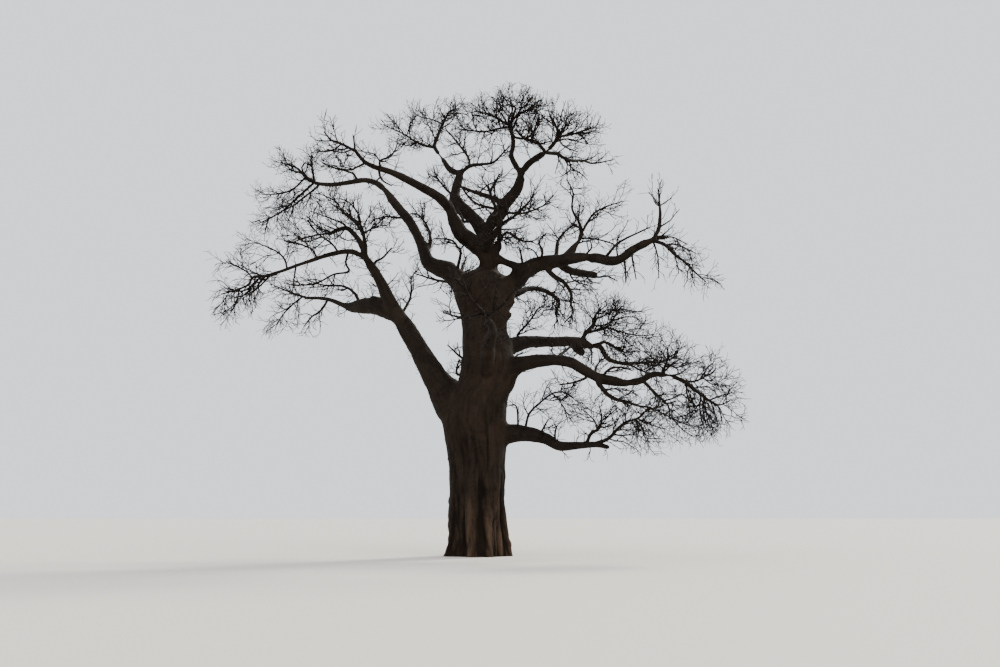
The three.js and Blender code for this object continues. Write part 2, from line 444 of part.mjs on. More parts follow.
// One twig: it leaves its stem at an angle, turned on by the golden angle from the last one, and wanders upwards.
function twigOn(stem, number, count, generation, rise) {
  const rule = TWIGS[generation];
  const id = mix(stem.id + Math.imul(number + 1 + 64 * generation, 0x85ebca6b));
  const share = FIRST_TWIG + (1 - FIRST_TWIG) * ((number + 0.3 + 0.6 * chance(id, 0)) / count);
  const { at, radius, ahead } = pointAlong(stem.line, share);
  const across = sideOf(ahead);
  const other = new THREE.Vector3().crossVectors(ahead, across);
  const roll = number * GOLDEN_ANGLE + 1.2 * (chance(id, 1) - 0.5) + 2 * Math.PI * chance(stem.id, 4);
  const lean = rule.lean * RADIANS * (0.75 + 0.5 * chance(id, 2));
  const way = ahead.clone().multiplyScalar(Math.cos(lean))
    .addScaledVector(across, Math.sin(lean) * Math.cos(roll))
    .addScaledVector(other, Math.sin(lean) * Math.sin(roll));
  const step = (rule.length * (1.15 - 0.5 * share) * (0.7 + 0.6 * chance(id, 3))) / rule.steps;
  const foot = Math.min(rule.foot / 2, FOOT_SHARE * radius);
  const line = [{ at, radius: foot }];
  for (let i = 1; i <= rule.steps; i++) {
    line.push({
      at: line[i - 1].at.clone().addScaledVector(way, step),
      radius: foot + (rule.tip / 2 - foot) * (i / rule.steps),
    });
    way.x += rule.wander * (2 * chance(id, 10 + 3 * i) - 1);
    way.y += rule.wander * (2 * chance(id, 11 + 3 * i) - 1);
    way.z += rule.wander * (2 * chance(id, 12 + 3 * i) - 1) + rise;
    way.normalize();
  }
  return { id, line, generation };
}

// Balls along a line, close enough together to tell what comes near it.
function balls(line) {
  return line.slice(1).flatMap((end, i) => {
    const start = line[i];
    const count = Math.max(1, Math.ceil(start.at.distanceTo(end.at) / SAMPLE_STEP));
    return Array.from({ length: count }, (_, k) => {
      const part = (k + 1) / count;
      return { at: start.at.clone().lerp(end.at, part), radius: start.radius + (end.radius - start.radius) * part };
    });
  });
}

const nearest = (at, others) => others.reduce((least, o) => Math.min(least, at.distanceTo(o.at) - o.radius), Infinity);

// A twig stays within its spray's space and touches no limb of another piece.
function twigFits(twig, stemBalls, spread, others) {
  return balls(twig.line).every(({ at, radius }) =>
    at.z > LOWEST_TWIG && nearest(at, stemBalls) < spread && nearest(at, others) > radius + CLEAR_OF_LIMBS);
}

function twigSolid(twig) {
  const { rings, steps } = TWIGS[twig.generation];
  return tube([...rings, steps].map((i) => twig.line[i]), 3, 0, true);
}

// The largest piece of what is left of a solid when everything near it is cut away.
function cutClear(solid, guards) {
  const box = solid.boundingBox();
  const meets = (other) => [0, 1, 2].every((i) => other.min[i] < box.max[i] && box.min[i] < other.max[i]);
  const near = guards.filter((guard) => meets(guard.boundingBox()));
  const left = near.length ? solid.subtract(wasm.Manifold.union(near)) : solid;
  return left.decompose().reduce((big, piece) => (piece.volume() > big.volume() ? piece : big));
}

function meshOf(name, solid, material) {
  const { vertProperties, triVerts } = solid.simplify(GAP / 3).getMesh();
  const geometry = new THREE.BufferGeometry();
  geometry.setAttribute("position", new THREE.BufferAttribute(new Float32Array(vertProperties), 3));
  geometry.setIndex(new THREE.BufferAttribute(new Uint32Array(triVerts), 1));
  geometry.computeVertexNormals();
  const mesh = new THREE.Mesh(geometry, material);
  mesh.name = name;
  return mesh;
}

const tree = new THREE.Group();
const trunkKnots = TRUNK_OUTLINE.slice(1).map(([height, middle]) => new THREE.Vector3(middle, 0, height));
const lines = { trunk: lineThrough(trunkKnots, TRUNK_OUTLINE.slice(1).map(([, , halfWidth]) => halfWidth)) };
const guards = [trunkSolid(GAP)];
const limbBalls = balls(lines.trunk);
tree.add(meshOf("trunk", trunkSolid(), BARK));

// Each limb is cut clear of those before it, so a bough ends in a collar round its carrier.
for (const [name, carrier, ...knots] of BOUGHS) {
  const line = limbLine(lines[carrier], knots);
  const coarse = spaced(line, LIMB_STEP);
  const sides = knots[1][3] > THICK_LIMB ? 8 : 6;
  lines[name] = line;
  tree.add(meshOf(name, cutClear(tube(coarse, sides), guards), YOUNG_BARK));
  guards.push(tube(coarse, sides, GAP));
  limbBalls.push(...balls(line));
}

// A spray's stems, its own limbs, worked out before any twig so that no twig touches one.
const sprays = SPRAYS.map(([name, carrier, spread, rise, stemKnots, ...sideKnots], index) => {
  const stem = { id: mix(1000 + index), line: limbLine(lines[carrier], stemKnots) };
  const stems = [stem];
  for (const knots of sideKnots) {
    const carrying = stems.flatMap(({ line }) => line);
    stems.push({ id: mix(5000 + 10 * index + stems.length), line: limbLine(carrying, knots) });
  }
  return { name, spread, rise, stems, balls: stems.flatMap(({ line }) => balls(line)) };
});

for (const spray of sprays) {
  const others = [...limbBalls, ...sprays.filter((s) => s !== spray).flatMap((s) => s.balls)];
  const grown = [];
  let parents = spray.stems;
  for (let generation = 0; generation < TWIGS.length; generation++) {
    parents = parents.flatMap((stem) => {
      const count = Math.max(1, Math.round(lengthOf(stem.line) / TWIGS[generation].every));
      return Array.from({ length: count }, (_, i) => twigOn(stem, i, count, generation, spray.rise));
    }).filter((twig) => twigFits(twig, spray.balls, spray.spread, others));
    grown.push(...parents);
  }
  spray.balls.push(...grown.flatMap(({ line }) => balls(line)));
  const stemRings = spray.stems.map(({ line }) => line.filter((_, i) => i % SAMPLES_PER_SPAN === 0));
  const stemTubes = (grow) => stemRings.map((rings, i) => tube(rings, i ? 3 : 4, grow));
  const whole = wasm.Manifold.union([...stemTubes(0), ...grown.map(twigSolid)]);
  tree.add(meshOf(spray.name, cutClear(whole, guards), TWIG_BARK));
  guards.push(...stemTubes(GAP));
}

export default tree;
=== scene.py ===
"""A leafless baobab tree about 20 m tall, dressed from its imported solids.

Four skins of folded bark, cut from one, cover the trunk and its boughs. Out of them grow stems, branches
and twigs, which follow the same rule as the solids do and go on to finer ones. The units are metres, +Z
points up, and +Y away from the side that is photographed.
"""

import math

import bpy
import numpy as np
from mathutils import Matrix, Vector


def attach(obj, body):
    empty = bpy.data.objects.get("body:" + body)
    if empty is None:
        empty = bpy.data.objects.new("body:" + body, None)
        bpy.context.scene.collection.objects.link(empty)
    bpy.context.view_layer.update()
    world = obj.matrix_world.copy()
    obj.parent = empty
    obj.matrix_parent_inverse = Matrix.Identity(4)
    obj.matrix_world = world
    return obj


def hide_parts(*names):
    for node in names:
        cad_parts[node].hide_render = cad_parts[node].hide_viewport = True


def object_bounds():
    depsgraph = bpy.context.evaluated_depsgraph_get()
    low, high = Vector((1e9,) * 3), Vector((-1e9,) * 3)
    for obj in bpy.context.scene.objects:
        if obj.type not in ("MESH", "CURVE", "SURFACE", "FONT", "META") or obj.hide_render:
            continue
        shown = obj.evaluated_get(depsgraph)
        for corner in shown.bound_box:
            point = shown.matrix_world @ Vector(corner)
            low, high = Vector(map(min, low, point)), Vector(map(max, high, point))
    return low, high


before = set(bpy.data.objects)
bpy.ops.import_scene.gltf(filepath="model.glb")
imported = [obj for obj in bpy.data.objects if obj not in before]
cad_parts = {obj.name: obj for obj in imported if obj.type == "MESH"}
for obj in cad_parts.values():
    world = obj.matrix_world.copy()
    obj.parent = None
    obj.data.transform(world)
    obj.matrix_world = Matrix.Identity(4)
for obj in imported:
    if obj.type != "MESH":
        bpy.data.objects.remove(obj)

CAD_BOX = [list(corner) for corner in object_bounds()]

# Where the tree is seen from: how far, how high and how far across the camera stands, and how it tilts.
SIGHT_DISTANCE = 40.5
EYE_HEIGHT = 1.63
EYE_ACROSS = 0.92
TILT = math.radians(10.58)
LENS_MM = 35.0

# The trunk: height, middle of its width, and half its width.
TRUNK_OUTLINE = [
  [0, 0, 1.25],
  [0.5, 0, 1.23],
  [1.3, -0.03, 1.185],
  [2.6, -0.05, 1.15],
  [3.6, -0.05, 1.18],
  [4.5, -0.08, 1.29],
  [5.5, -0.17, 1.37],
  [6.3, -0.08, 1.3],
  [7.1, 0.28, 1.13],
  [7.9, 0.44, 1.14],
  [8.7, 0.36, 1.05],
  [9.4, 0.24, 0.96],
  [10, 0.26, 1.03],
  [10.6, 0.26, 1.23],
  [11.2, 0.23, 1.39],
  [11.55, 0.19, 1.15],
  [11.75, 0.18, 0.82],
  [11.93, 0.26, 0.56],
  [12.1, 0.42, 0.36],
]

# The boughs and arms: name, what carries it, its foot as seen (across, up, width) and its knots (across,
# up, depth, width). Across and up are the place in the plane of the trunk that the knot lines up with, and
# the depth grows away from the camera. A width is as seen there too.
BOUGHS = [
  ["low_left_bough", "trunk", [-0.15, 5, 1.5],
    [-1.05, 6, -0.15, 1.5], [-1.7, 7.12, -0.45, 1.12], [-2.47, 8.45, -0.9, 0.83],
    [-3.17, 9.6, -1.3, 0.75], [-3.8, 10.6, -1.65, 0.58], [-4.28, 11.6, -2, 0.44],
    [-4.95, 12.65, -2.3, 0.34]],
  ["low_left_arm", "low_left_bough", [-4.82, 12.45, 0.25],
    [-5.45, 12.78, -2.5, 0.24], [-6.3, 12.68, -2.9, 0.21], [-7.2, 12.38, -3.4, 0.18],
    [-8, 12.1, -3.8, 0.15]],
  ["low_left_spur", "low_left_bough", [-3.45, 10.05, 0.76],
    [-4.25, 10.38, -0.9, 0.82], [-4.9, 10.38, -0.3, 0.66], [-5.35, 10.34, 0.2, 0.48],
    [-5.75, 10.43, 0.7, 0.23], [-6.5, 10.7, 1.6, 0.17], [-7.4, 10.74, 2.7, 0.13]],
  ["upper_left_bough", "trunk", [0.15, 10.8, 1.25],
    [-0.73, 11.39, 0.15, 0.94], [-1.29, 11.9, 0.32, 0.82], [-1.78, 12.09, 0.45, 0.74],
    [-2.17, 12.33, 0.58, 0.61],
    [-2.35, 12.8, 0.75, 0.53], [-2.57, 13.32, 0.95, 0.43], [-3.03, 14.17, 1.35, 0.42],
    [-3.65, 14.95, 1.7, 0.38], [-4.1, 15.58, 2, 0.32]],
  ["upper_left_arm", "upper_left_bough", [-3.98, 15.5, 0.3],
    [-4.45, 15.86, 2.3, 0.26], [-5, 16, 2.6, 0.23], [-5.8, 15.88, 3, 0.21],
    [-6.4, 15.8, 3.3, 0.2], [-7.1, 15.85, 3.7, 0.16]],
  ["crown_left_bough", "trunk", [0.4, 11.5, 0.9],
    [0.43, 12.1, -0.15, 0.72], [0.22, 12.65, -0.22, 0.68], [-0.11, 13.02, -0.3, 0.76],
    [-0.45, 13.33, -0.38, 0.72],
    [-0.75, 13.59, -0.5, 0.7], [-0.95, 13.97, -0.62, 0.64], [-1.16, 14.42, -0.78, 0.47],
    [-1.27, 14.78, -0.9, 0.47],
    [-1.36, 14.95, -1, 0.46]],
  ["crown_left_arm", "crown_left_bough", [-1.1, 14.7, 0.48],
    [-1.72, 15.2, -1.5, 0.44], [-2.5, 15.68, -2.1, 0.37], [-3.3, 16.12, -2.7, 0.33],
    [-4, 16.43, -3.2, 0.28], [-4.6, 16.62, -3.6, 0.23], [-5.05, 16.88, -3.9, 0.19],
    [-5.5, 17.45, -4.3, 0.15]],
  ["crown_right_bough", "trunk", [0.48, 11.6, 0.9],
    [0.44, 12.2, -0.05, 0.8], [0.45, 12.75, -0.1, 0.74], [0.37, 13.25, -0.12, 0.46],
    [0.42, 13.8, -0.18, 0.44],
    [0.6, 14.16, -0.3, 0.6], [0.87, 14.4, -0.42, 0.62],
    [1.22, 15, -0.65, 0.54], [1.68, 15.62, -0.85, 0.47], [1.85, 16.38, -1.05, 0.34]],
  ["crown_mid_bough", "crown_right_bough", [0.48, 12.9, 0.52],
    [0.28, 13.45, 0.35, 0.64], [0, 13.98, 0.52, 0.62], [-0.3, 14.33, 0.68, 0.57], [-0.96, 14.95, 1, 0.64],
    [-1.03, 15.45, 1.25, 0.41], [-0.88, 16.05, 1.45, 0.37], [-0.78, 16.42, 1.6, 0.32]],
  ["crown_mid_arm", "crown_mid_bough", [-0.8, 16.33, 0.28],
    [-1.25, 16.48, 1.8, 0.27], [-1.52, 16.85, 2, 0.21], [-1.72, 17.15, 2.15, 0.185]],
  ["crown_top_arm", "crown_right_bough", [1.84, 16.28, 0.26],
    [1.56, 16.76, -1.05, 0.25], [1.41, 17.15, -1.1, 0.225], [1.5, 17.6, -1.15, 0.21],
    [1.47, 18.05, -1.2, 0.19], [1.32, 18.5, -1.3, 0.165]],
  ["crown_right_arm", "crown_right_bough", [1.84, 16.28, 0.3],
    [2.2, 16.78, -1.3, 0.31], [2.6, 17.07, -1.8, 0.29], [3, 17.33, -2.3, 0.23]],
  ["upper_right_bough", "trunk", [0.35, 10.6, 1.2],
    [1.3, 11.29, -0.2, 0.78], [1.93, 11.89, -0.5, 0.755], [2.7, 12.25, -0.9, 0.66],
    [3.6, 12.4, -1.4, 0.54], [4.6, 12.56, -2, 0.45]],
  ["upper_right_arm", "upper_right_bough", [4.45, 12.52, 0.38],
    [5.1, 12.49, -2.3, 0.43], [5.65, 12.37, -2.65, 0.45], [6.1, 12.45, -2.9, 0.39],
    [6.6, 12.83, -3.15, 0.35], [7.15, 13.13, -3.35, 0.36], [7.6, 13.32, -3.55, 0.32]],
  ["upper_right_spur", "upper_right_bough", [3.3, 12.35, 0.38],
    [3.9, 11.96, -0.7, 0.34], [4.5, 11.82, -0.2, 0.33], [5, 11.74, 0.15, 0.3]],
  ["mid_right_bough", "trunk", [0.4, 8.3, 1],
    [1.4, 8.65, 0.6, 0.74], [2.2, 8.84, 1.2, 0.53], [3.2, 8.84, 1.9, 0.44],
    [4.2, 8.85, 2.6, 0.45], [4.8, 8.62, 3, 0.33]],
  ["mid_right_arm", "mid_right_bough", [4.72, 8.66, 0.26],
    [5.15, 8.62, 3.3, 0.24], [5.4, 8.2, 3.6, 0.22], [5.7, 8, 3.9, 0.185], [6.3, 7.88, 4.4, 0.16]],
  ["broad_right_bough", "trunk", [0.45, 7, 1.25],
    [1.3, 7.7, -0.35, 0.9], [2.2, 7.97, -0.75, 0.62], [3.2, 8.05, -1.15, 0.48],
    [3.9, 7.95, -1.5, 0.47], [4.5, 7.6, -1.8, 0.46], [5.1, 7.28, -2.05, 0.46], [5.7, 7.16, -2.3, 0.43],
    [6.2, 7.05, -2.5, 0.4]],
  ["broad_right_arm", "broad_right_bough", [6.08, 7.08, 0.36],
    [6.8, 7.18, -2.65, 0.31], [7.35, 7.45, -2.8, 0.26], [8.1, 7.4, -3, 0.2]],
  ["low_right_bough", "trunk", [0.25, 4.5, 1.15],
    [1.15, 4.93, -0.2, 0.88], [2, 4.96, -0.6, 0.66], [2.8, 4.75, -1.1, 0.48], [3.4, 4.44, -1.6, 0.42],
    [4.2, 4.47, -2.2, 0.31], [4.9, 4.51, -2.8, 0.25], [5.4, 4.4, -3.2, 0.19]],
  ["rear_bough", "trunk", [0.25, 8.7, 0.85],
    [0.3, 9.7, 1.9, 0.6], [0.25, 10.5, 4, 0.43], [-0.2, 11.1, 6, 0.28]],
  ["rear_left_bough", "trunk", [-0.2, 6.3, 0.9],
    [-1.1, 7, 1.7, 0.56], [-2.35, 8.3, 3.5, 0.42], [-3, 9.75, 5.2, 0.26]],
  ["rear_low_bough", "trunk", [0.15, 6.2, 0.9],
    [0.25, 7, 1.8, 0.6], [0.35, 7.5, 3.7, 0.43], [0.1, 7.9, 5.6, 0.28]],
  ["front_bough", "trunk", [0.3, 7.7, 0.9],
    [0.4, 8.6, -1.9, 0.6], [0.6, 9.25, -3.9, 0.42], [0.45, 9.8, -5.8, 0.27]],
]

# The sprays, one for each mass of twigs: name, what carries it, how far its twigs reach from its stems, how
# they rise, and its stem and side stems, each a foot and knots in the same form as the boughs'.
SPRAYS = [
  ["low_left_end_twigs", "low_left_arm", 0.95, -0.05, [[-7.9, 12.13, 0.13],
    [-8.5, 11.9, -4, 0.13], [-9.1, 11.72, -4.3, 0.115], [-9.65, 11.65, -4.5, 0.095],
    [-9.85, 11.32, -4.6, 0.08], [-10.35, 11.08, -4.8, 0.065], [-11, 10.9, -5, 0.04]],
    [[-9.65, 11.6, 0.06], [-10.05, 11.96, -4.4, 0.05], [-10.85, 12.33, -4.6, 0.025]],
    [[-10.25, 11.12, 0.05], [-10.3, 10.6, -4.5, 0.045], [-10.55, 10.1, -4.3, 0.025]],
    [[-8.2, 12, 0.075], [-8.35, 12.45, -3.8, 0.07], [-8.75, 12.82, -3.6, 0.05],
    [-9.7, 13.22, -3.7, 0.025]]],
  ["low_left_inner_twigs", "low_left_arm", 1, 0.08, [[-6.05, 12.7, 0.085],
    [-6.35, 13.15, -2.5, 0.075], [-6.9, 13.55, -2.25, 0.055], [-7.45, 14.2, -2.1, 0.03]],
    [[-6.8, 13.48, 0.05], [-7.5, 13.23, -2.7, 0.04], [-8.1, 13.7, -2.9, 0.025]]],
  ["low_left_spur_twigs", "low_left_spur", 1.05, -0.12, [[-7.3, 10.73, 0.11],
    [-7.95, 10.95, 3.1, 0.08], [-8.75, 11.28, 3.4, 0.035]],
    [[-7.5, 10.8, 0.075], [-7.95, 10.42, 3.3, 0.065], [-8.35, 9.95, 3.7, 0.045], [-8.6, 9.45, 4, 0.025]]],
  ["low_left_hook_twigs", "low_left_bough", 0.9, 0.15, [[-4.88, 12.56, 0.29],
    [-5.15, 13.25, -2, 0.26], [-5.6, 13.8, -1.7, 0.215], [-6, 13.78, -1.5, 0.19],
    [-6.5, 13.55, -1.3, 0.14]],
    [[-6.35, 13.62, 0.07], [-6.95, 13.9, -1.2, 0.05], [-7.45, 14.35, -1.1, 0.025]]],
  ["low_left_crown_twigs", "low_left_bough", 1.1, 0.15, [[-4.82, 12.45, 0.19],
    [-4.95, 13.4, -3.1, 0.15], [-5.15, 14, -3.7, 0.11], [-5.7, 14.42, -4.4, 0.07],
    [-6.5, 15, -5.4, 0.03]],
    [[-5, 13.55, 0.06], [-4.5, 13.88, -3.5, 0.045], [-4, 13.95, -3.9, 0.025]]],
  ["upper_left_fan_twigs", "upper_left_arm", 0.95, 0.1, [[-6.98, 15.84, 0.14],
    [-7.5, 16.05, 3.9, 0.12], [-7.95, 16.55, 4.1, 0.08], [-8.7, 16.82, 4.3, 0.03]],
    [[-7.18, 15.9, 0.095], [-7.28, 16.45, 3.5, 0.08], [-7.33, 17.1, 3.3, 0.035]],
    [[-7.18, 15.9, 0.1], [-7.7, 15.4, 4.2, 0.095], [-8.6, 14.55, 4.6, 0.065], [-9.5, 14.05, 4.9, 0.03]],
    [[-7.62, 16.15, 0.065], [-8.1, 15.6, 3.6, 0.06], [-8.7, 15.38, 3.5, 0.045],
    [-9.45, 15.35, 3.4, 0.025]]],
  ["crown_left_end_twigs", "crown_left_arm", 0.9, 0.15, [[-5.43, 17.33, 0.13],
    [-6, 17.65, -4.6, 0.105], [-6.5, 17.85, -4.9, 0.07], [-6.85, 18.25, -5.1, 0.03]],
    [[-5.6, 17.45, 0.06], [-5.95, 17.28, -4.8, 0.045], [-6.5, 17.4, -5.1, 0.025]]],
  ["crown_left_side_twigs", "crown_left_arm", 0.85, 0.15, [[-4.3, 16.53, 0.1],
    [-4.33, 16.9, -3.7, 0.085], [-3.9, 17.08, -4, 0.06], [-3.65, 17.5, -4.3, 0.045],
    [-3.6, 17.95, -4.5, 0.025]],
    [[-4.33, 16.86, 0.055], [-4.6, 17.2, -3.4, 0.045], [-5.1, 17.32, -3.2, 0.025]]],
  ["crown_mid_twigs", "crown_mid_arm", 0.95, 0.15, [[-1.64, 17.05, 0.165],
    [-1.95, 17.55, 2.3, 0.165], [-1.82, 18.05, 2.45, 0.14], [-1.65, 18.5, 2.6, 0.115],
    [-1.45, 18.95, 2.7, 0.09], [-1.3, 19.2, 2.8, 0.065], [-0.9, 19.35, 2.9, 0.03]],
    [[-1.93, 17.5, 0.12], [-2.45, 17.62, 2.9, 0.105], [-2.9, 17.85, 3.2, 0.08], [-3.3, 18.12, 3.5, 0.06],
      [-4.2, 18.55, 3.9, 0.025]],
    [[-1.6, 18.6, 0.055], [-2.05, 18.8, 2.9, 0.045], [-2.65, 18.95, 3.1, 0.025]],
    [[-3.2, 18.05, 0.045], [-3.05, 18.55, 3.3, 0.035], [-2.9, 19.05, 3.2, 0.02]]],
  ["crown_mid_right_twigs", "crown_mid_bough", 1, 0.12, [[-0.8, 16.33, 0.23],
    [-0.42, 16.65, 1.5, 0.18], [0.1, 16.73, 1.3, 0.12], [0.6, 16.82, 1.1, 0.095], [1.05, 17.25, 0.9, 0.065],
    [1.4, 17.65, 0.7, 0.035]],
    [[-0.43, 16.64, 0.11], [-0.48, 17.05, 1.9, 0.1], [-1, 17.8, 2.6, 0.075], [-1.5, 18.4, 3.2, 0.03]]],
  ["crown_cross_twigs", "crown_right_bough", 0.85, 0.1, [[1.15, 14.88, 0.3],
    [0.55, 15.22, -0.5, 0.24], [-0.1, 15.42, -0.3, 0.18], [-0.8, 15.72, -0.2, 0.09]],
    [[0, 15.4, 0.06], [0.5, 15.85, -0.6, 0.045], [1.15, 15.98, -0.7, 0.025]]],
  ["crown_top_twigs", "crown_top_arm", 1.05, 0.2, [[1.35, 18.4, 0.15],
    [1.48, 18.95, -1.5, 0.12], [1.6, 19.35, -1.6, 0.08], [1.38, 19.55, -1.7, 0.035]],
    [[1.37, 18.52, 0.11], [0.9, 18.8, -0.9, 0.1], [0.4, 19.08, -0.5, 0.06], [-0.25, 19.2, 0, 0.025]],
    [[1.37, 18.48, 0.09], [0.8, 18.38, -1.7, 0.08], [0.2, 18.25, -2.2, 0.065], [-0.9, 18.38, -2.9, 0.025]],
    [[1.45, 18.85, 0.07], [1.9, 19.15, -2, 0.055], [2.35, 19.35, -2.4, 0.025]]],
  ["crown_top_right_twigs", "crown_top_arm", 0.95, 0.18, [[1.48, 18, 0.1],
    [1.95, 17.92, -1.8, 0.09], [2.33, 18.13, -2.2, 0.075], [2.52, 18.6, -2.6, 0.055],
    [2.62, 18.95, -3, 0.03]],
    [[1.95, 17.92, 0.06], [2.6, 17.7, -2.4, 0.05], [3.2, 17.8, -2.9, 0.025]]],
  ["right_dome_twigs", "crown_right_arm", 1.15, 0.2, [[2.92, 17.3, 0.19],
    [3.3, 17.7, -2.6, 0.16], [3.5, 18.05, -2.9, 0.13], [3.35, 18.6, -3.2, 0.075], [3.1, 19.1, -3.5, 0.035]],
    [[3.5, 18, 0.095], [4.2, 18.15, -3.3, 0.075], [4.95, 18.45, -3.7, 0.03]],
    [[3.4, 17.85, 0.06], [3.95, 17.9, -2.3, 0.05], [4.6, 17.7, -1.9, 0.025]]],
  ["right_tail_twigs", "crown_right_arm", 0.85, 0.02, [[2.92, 17.3, 0.17],
    [3.45, 17.2, -1.6, 0.16], [3.95, 16.92, -0.7, 0.13], [4.55, 16.9, 0.3, 0.105], [5.05, 16.78, 1.2, 0.07],
    [5.9, 16.95, 2.2, 0.025]],
    [[3.95, 16.92, 0.065], [4, 16.48, -0.4, 0.05], [3.55, 16.15, -0.1, 0.025]]],
  ["riser_left_twigs", "upper_right_bough", 0.85, 0.12, [[3.33, 12.35, 0.22],
    [3.38, 13, -0.7, 0.17], [3.48, 13.35, -0.3, 0.11], [3.85, 13.8, 0.2, 0.07], [4.25, 14, 0.6, 0.03]]],
  ["riser_twigs", "upper_right_bough", 1.1, 0.12, [[3.85, 12.44, 0.26],
    [4.2, 13.05, -1.5, 0.23], [4.43, 13.6, -1.3, 0.18], [4.33, 14.1, -1, 0.115], [4.05, 14.72, -0.7, 0.08],
    [4.1, 15.4, -0.5, 0.06], [3.85, 16.05, -0.3, 0.025]],
    [[4.43, 13.6, 0.11], [4.75, 14.15, -1.5, 0.095], [5.05, 14.55, -1.7, 0.075], [5.6, 14.82, -1.9, 0.05],
      [6.25, 15.05, -2.1, 0.025]],
    [[4.35, 13.4, 0.075], [5, 13.35, -1.9, 0.065], [5.6, 13.2, -2.1, 0.055], [6.05, 12.98, -2.3, 0.03]]],
  ["horn_twigs", "upper_right_arm", 0.85, 0.2, [[7.5, 13.28, 0.2],
    [7.78, 13.8, -3.5, 0.18], [7.86, 14.4, -3.4, 0.13], [7.85, 14.95, -3.3, 0.085],
    [7.8, 15.65, -3.2, 0.03]],
    [[7.86, 14.85, 0.045], [7.42, 15.45, -3.1, 0.025]],
    [[7.86, 14.85, 0.045], [8.4, 15.2, -3.4, 0.025]]],
  ["tail_twigs", "upper_right_arm", 0.9, -0.1, [[7.5, 13.28, 0.17],
    [8, 13.1, -3.9, 0.15], [8.45, 12.65, -4.2, 0.12], [8.85, 12.33, -4.4, 0.09], [9.3, 11.85, -4.6, 0.06],
    [9.75, 11.43, -4.8, 0.03]],
    [[8, 13.1, 0.06], [8.6, 13.08, -3.7, 0.05], [9.35, 12.7, -3.6, 0.025]]],
  ["hanging_twigs", "upper_right_bough", 0.8, -0.08, [[2.7, 12.2, 0.26],
    [3.25, 11.7, -1.3, 0.22], [3.7, 11.38, -1.6, 0.17], [3.95, 10.9, -1.8, 0.13], [3.95, 10.45, -2, 0.095],
    [4.02, 10.1, -2.1, 0.065], [3.65, 9.65, -2.2, 0.035]],
    [[3.7, 11.38, 0.055], [4.3, 11.5, -1.9, 0.045], [4.9, 11.35, -2.1, 0.025]]],
  ["short_right_twigs", "trunk", 0.75, -0.08, [[0.8, 10.5, 0.36],
    [1.5, 10.85, 0.9, 0.29], [2.1, 11.15, 1.7, 0.245], [2.7, 11.1, 2.4, 0.21], [3.3, 10.75, 3.1, 0.18],
    [3.43, 10.45, 3.5, 0.13], [3.3, 10.15, 3.8, 0.08], [3.4, 9.6, 4.1, 0.035]],
    [[3.3, 10.75, 0.055], [3.9, 10.56, 3.7, 0.045], [4.3, 10.5, 4.2, 0.025]]],
  ["mid_right_end_twigs", "mid_right_arm", 1.2, 0.08, [[6.18, 7.9, 0.14],
    [7, 7.95, 5, 0.11], [7.7, 7.98, 5.5, 0.07], [8.4, 8.2, 5.9, 0.03]],
    [[6.3, 7.88, 0.08], [6.95, 7.58, 4.2, 0.065], [7.7, 7.35, 4, 0.03]]],
  ["mid_right_rise_twigs", "mid_right_bough", 1.05, 0.12, [[4.4, 8.82, 0.23],
    [4.55, 9.2, 2.8, 0.19], [4.9, 9.6, 2.9, 0.15], [5, 10, 3, 0.085], [5.25, 10.4, 3.1, 0.035]],
    [[4.55, 9.2, 0.11], [5, 9.33, 3.3, 0.105], [5.5, 9.43, 3.8, 0.08], [6, 9.28, 4.3, 0.06],
      [6.7, 9.12, 4.9, 0.04], [7.45, 9.13, 5.4, 0.02]],
    [[4.85, 9.52, 0.065], [5.45, 9.6, 3.5, 0.06], [5.85, 9.98, 4, 0.045], [6.12, 10.38, 4.3, 0.025]]],
  ["broad_right_end_twigs", "broad_right_arm", 1.05, -0.08, [[8, 7.42, 0.18],
    [8.7, 7.12, -3.15, 0.165], [9.23, 6.68, -3.25, 0.125], [9.7, 6.33, -3.3, 0.09],
    [10.1, 6.15, -3.35, 0.06],
    [10.6, 6.38, -3.4, 0.025]],
    [[9.45, 6.5, 0.055], [9.4, 5.9, -2.9, 0.045], [9.55, 5.15, -2.7, 0.025]],
    [[10, 6.18, 0.045], [10.13, 5.75, -3.5, 0.035], [10.18, 5.35, -3.6, 0.02]],
    [[8.45, 7.22, 0.085], [9, 7.15, -2.8, 0.075], [9.5, 7.33, -2.6, 0.06], [9.9, 7.75, -2.5, 0.025]],
    [[9.45, 7.3, 0.045], [9.8, 7.05, -2.5, 0.04], [10.4, 6.98, -2.4, 0.02]]],
  ["broad_right_rise_twigs", "broad_right_arm", 1, 0.1, [[7.7, 7.45, 0.11],
    [7.9, 7.85, -2.9, 0.095], [8, 8.15, -2.85, 0.065], [7.97, 8.65, -2.8, 0.025]],
    [[7.92, 7.88, 0.06], [8.4, 7.75, -2.6, 0.05], [9, 7.95, -2.4, 0.025]],
    [[7.8, 7.65, 0.06], [7.45, 8.05, -3.3, 0.05], [7, 8.45, -3.6, 0.025]]],
  ["broad_right_under_twigs", "broad_right_bough", 0.9, -0.08, [[4.85, 7.4, 0.24],
    [5.2, 6.85, -2.5, 0.205], [5.65, 6.45, -2.9, 0.165], [6.15, 6.3, -3.2, 0.11], [6.7, 6.13, -3.7, 0.08],
    [7.3, 6, -4.2, 0.06], [8.1, 5.6, -4.7, 0.04], [8.8, 5.28, -5.1, 0.02]]],
  ["broad_right_drop_twigs", "broad_right_arm", 1, -0.1, [[6.85, 7.21, 0.15],
    [7.15, 6.95, -2.3, 0.13], [7.45, 6.6, -2, 0.11], [7.75, 6.35, -1.7, 0.09], [7.97, 6.05, -1.5, 0.065],
    [8, 5.55, -1.4, 0.03]],
    [[7.78, 6.32, 0.065], [8.2, 6.45, -1.4, 0.055], [8.55, 6.6, -1.2, 0.045], [9.1, 6.1, -1, 0.025]]],
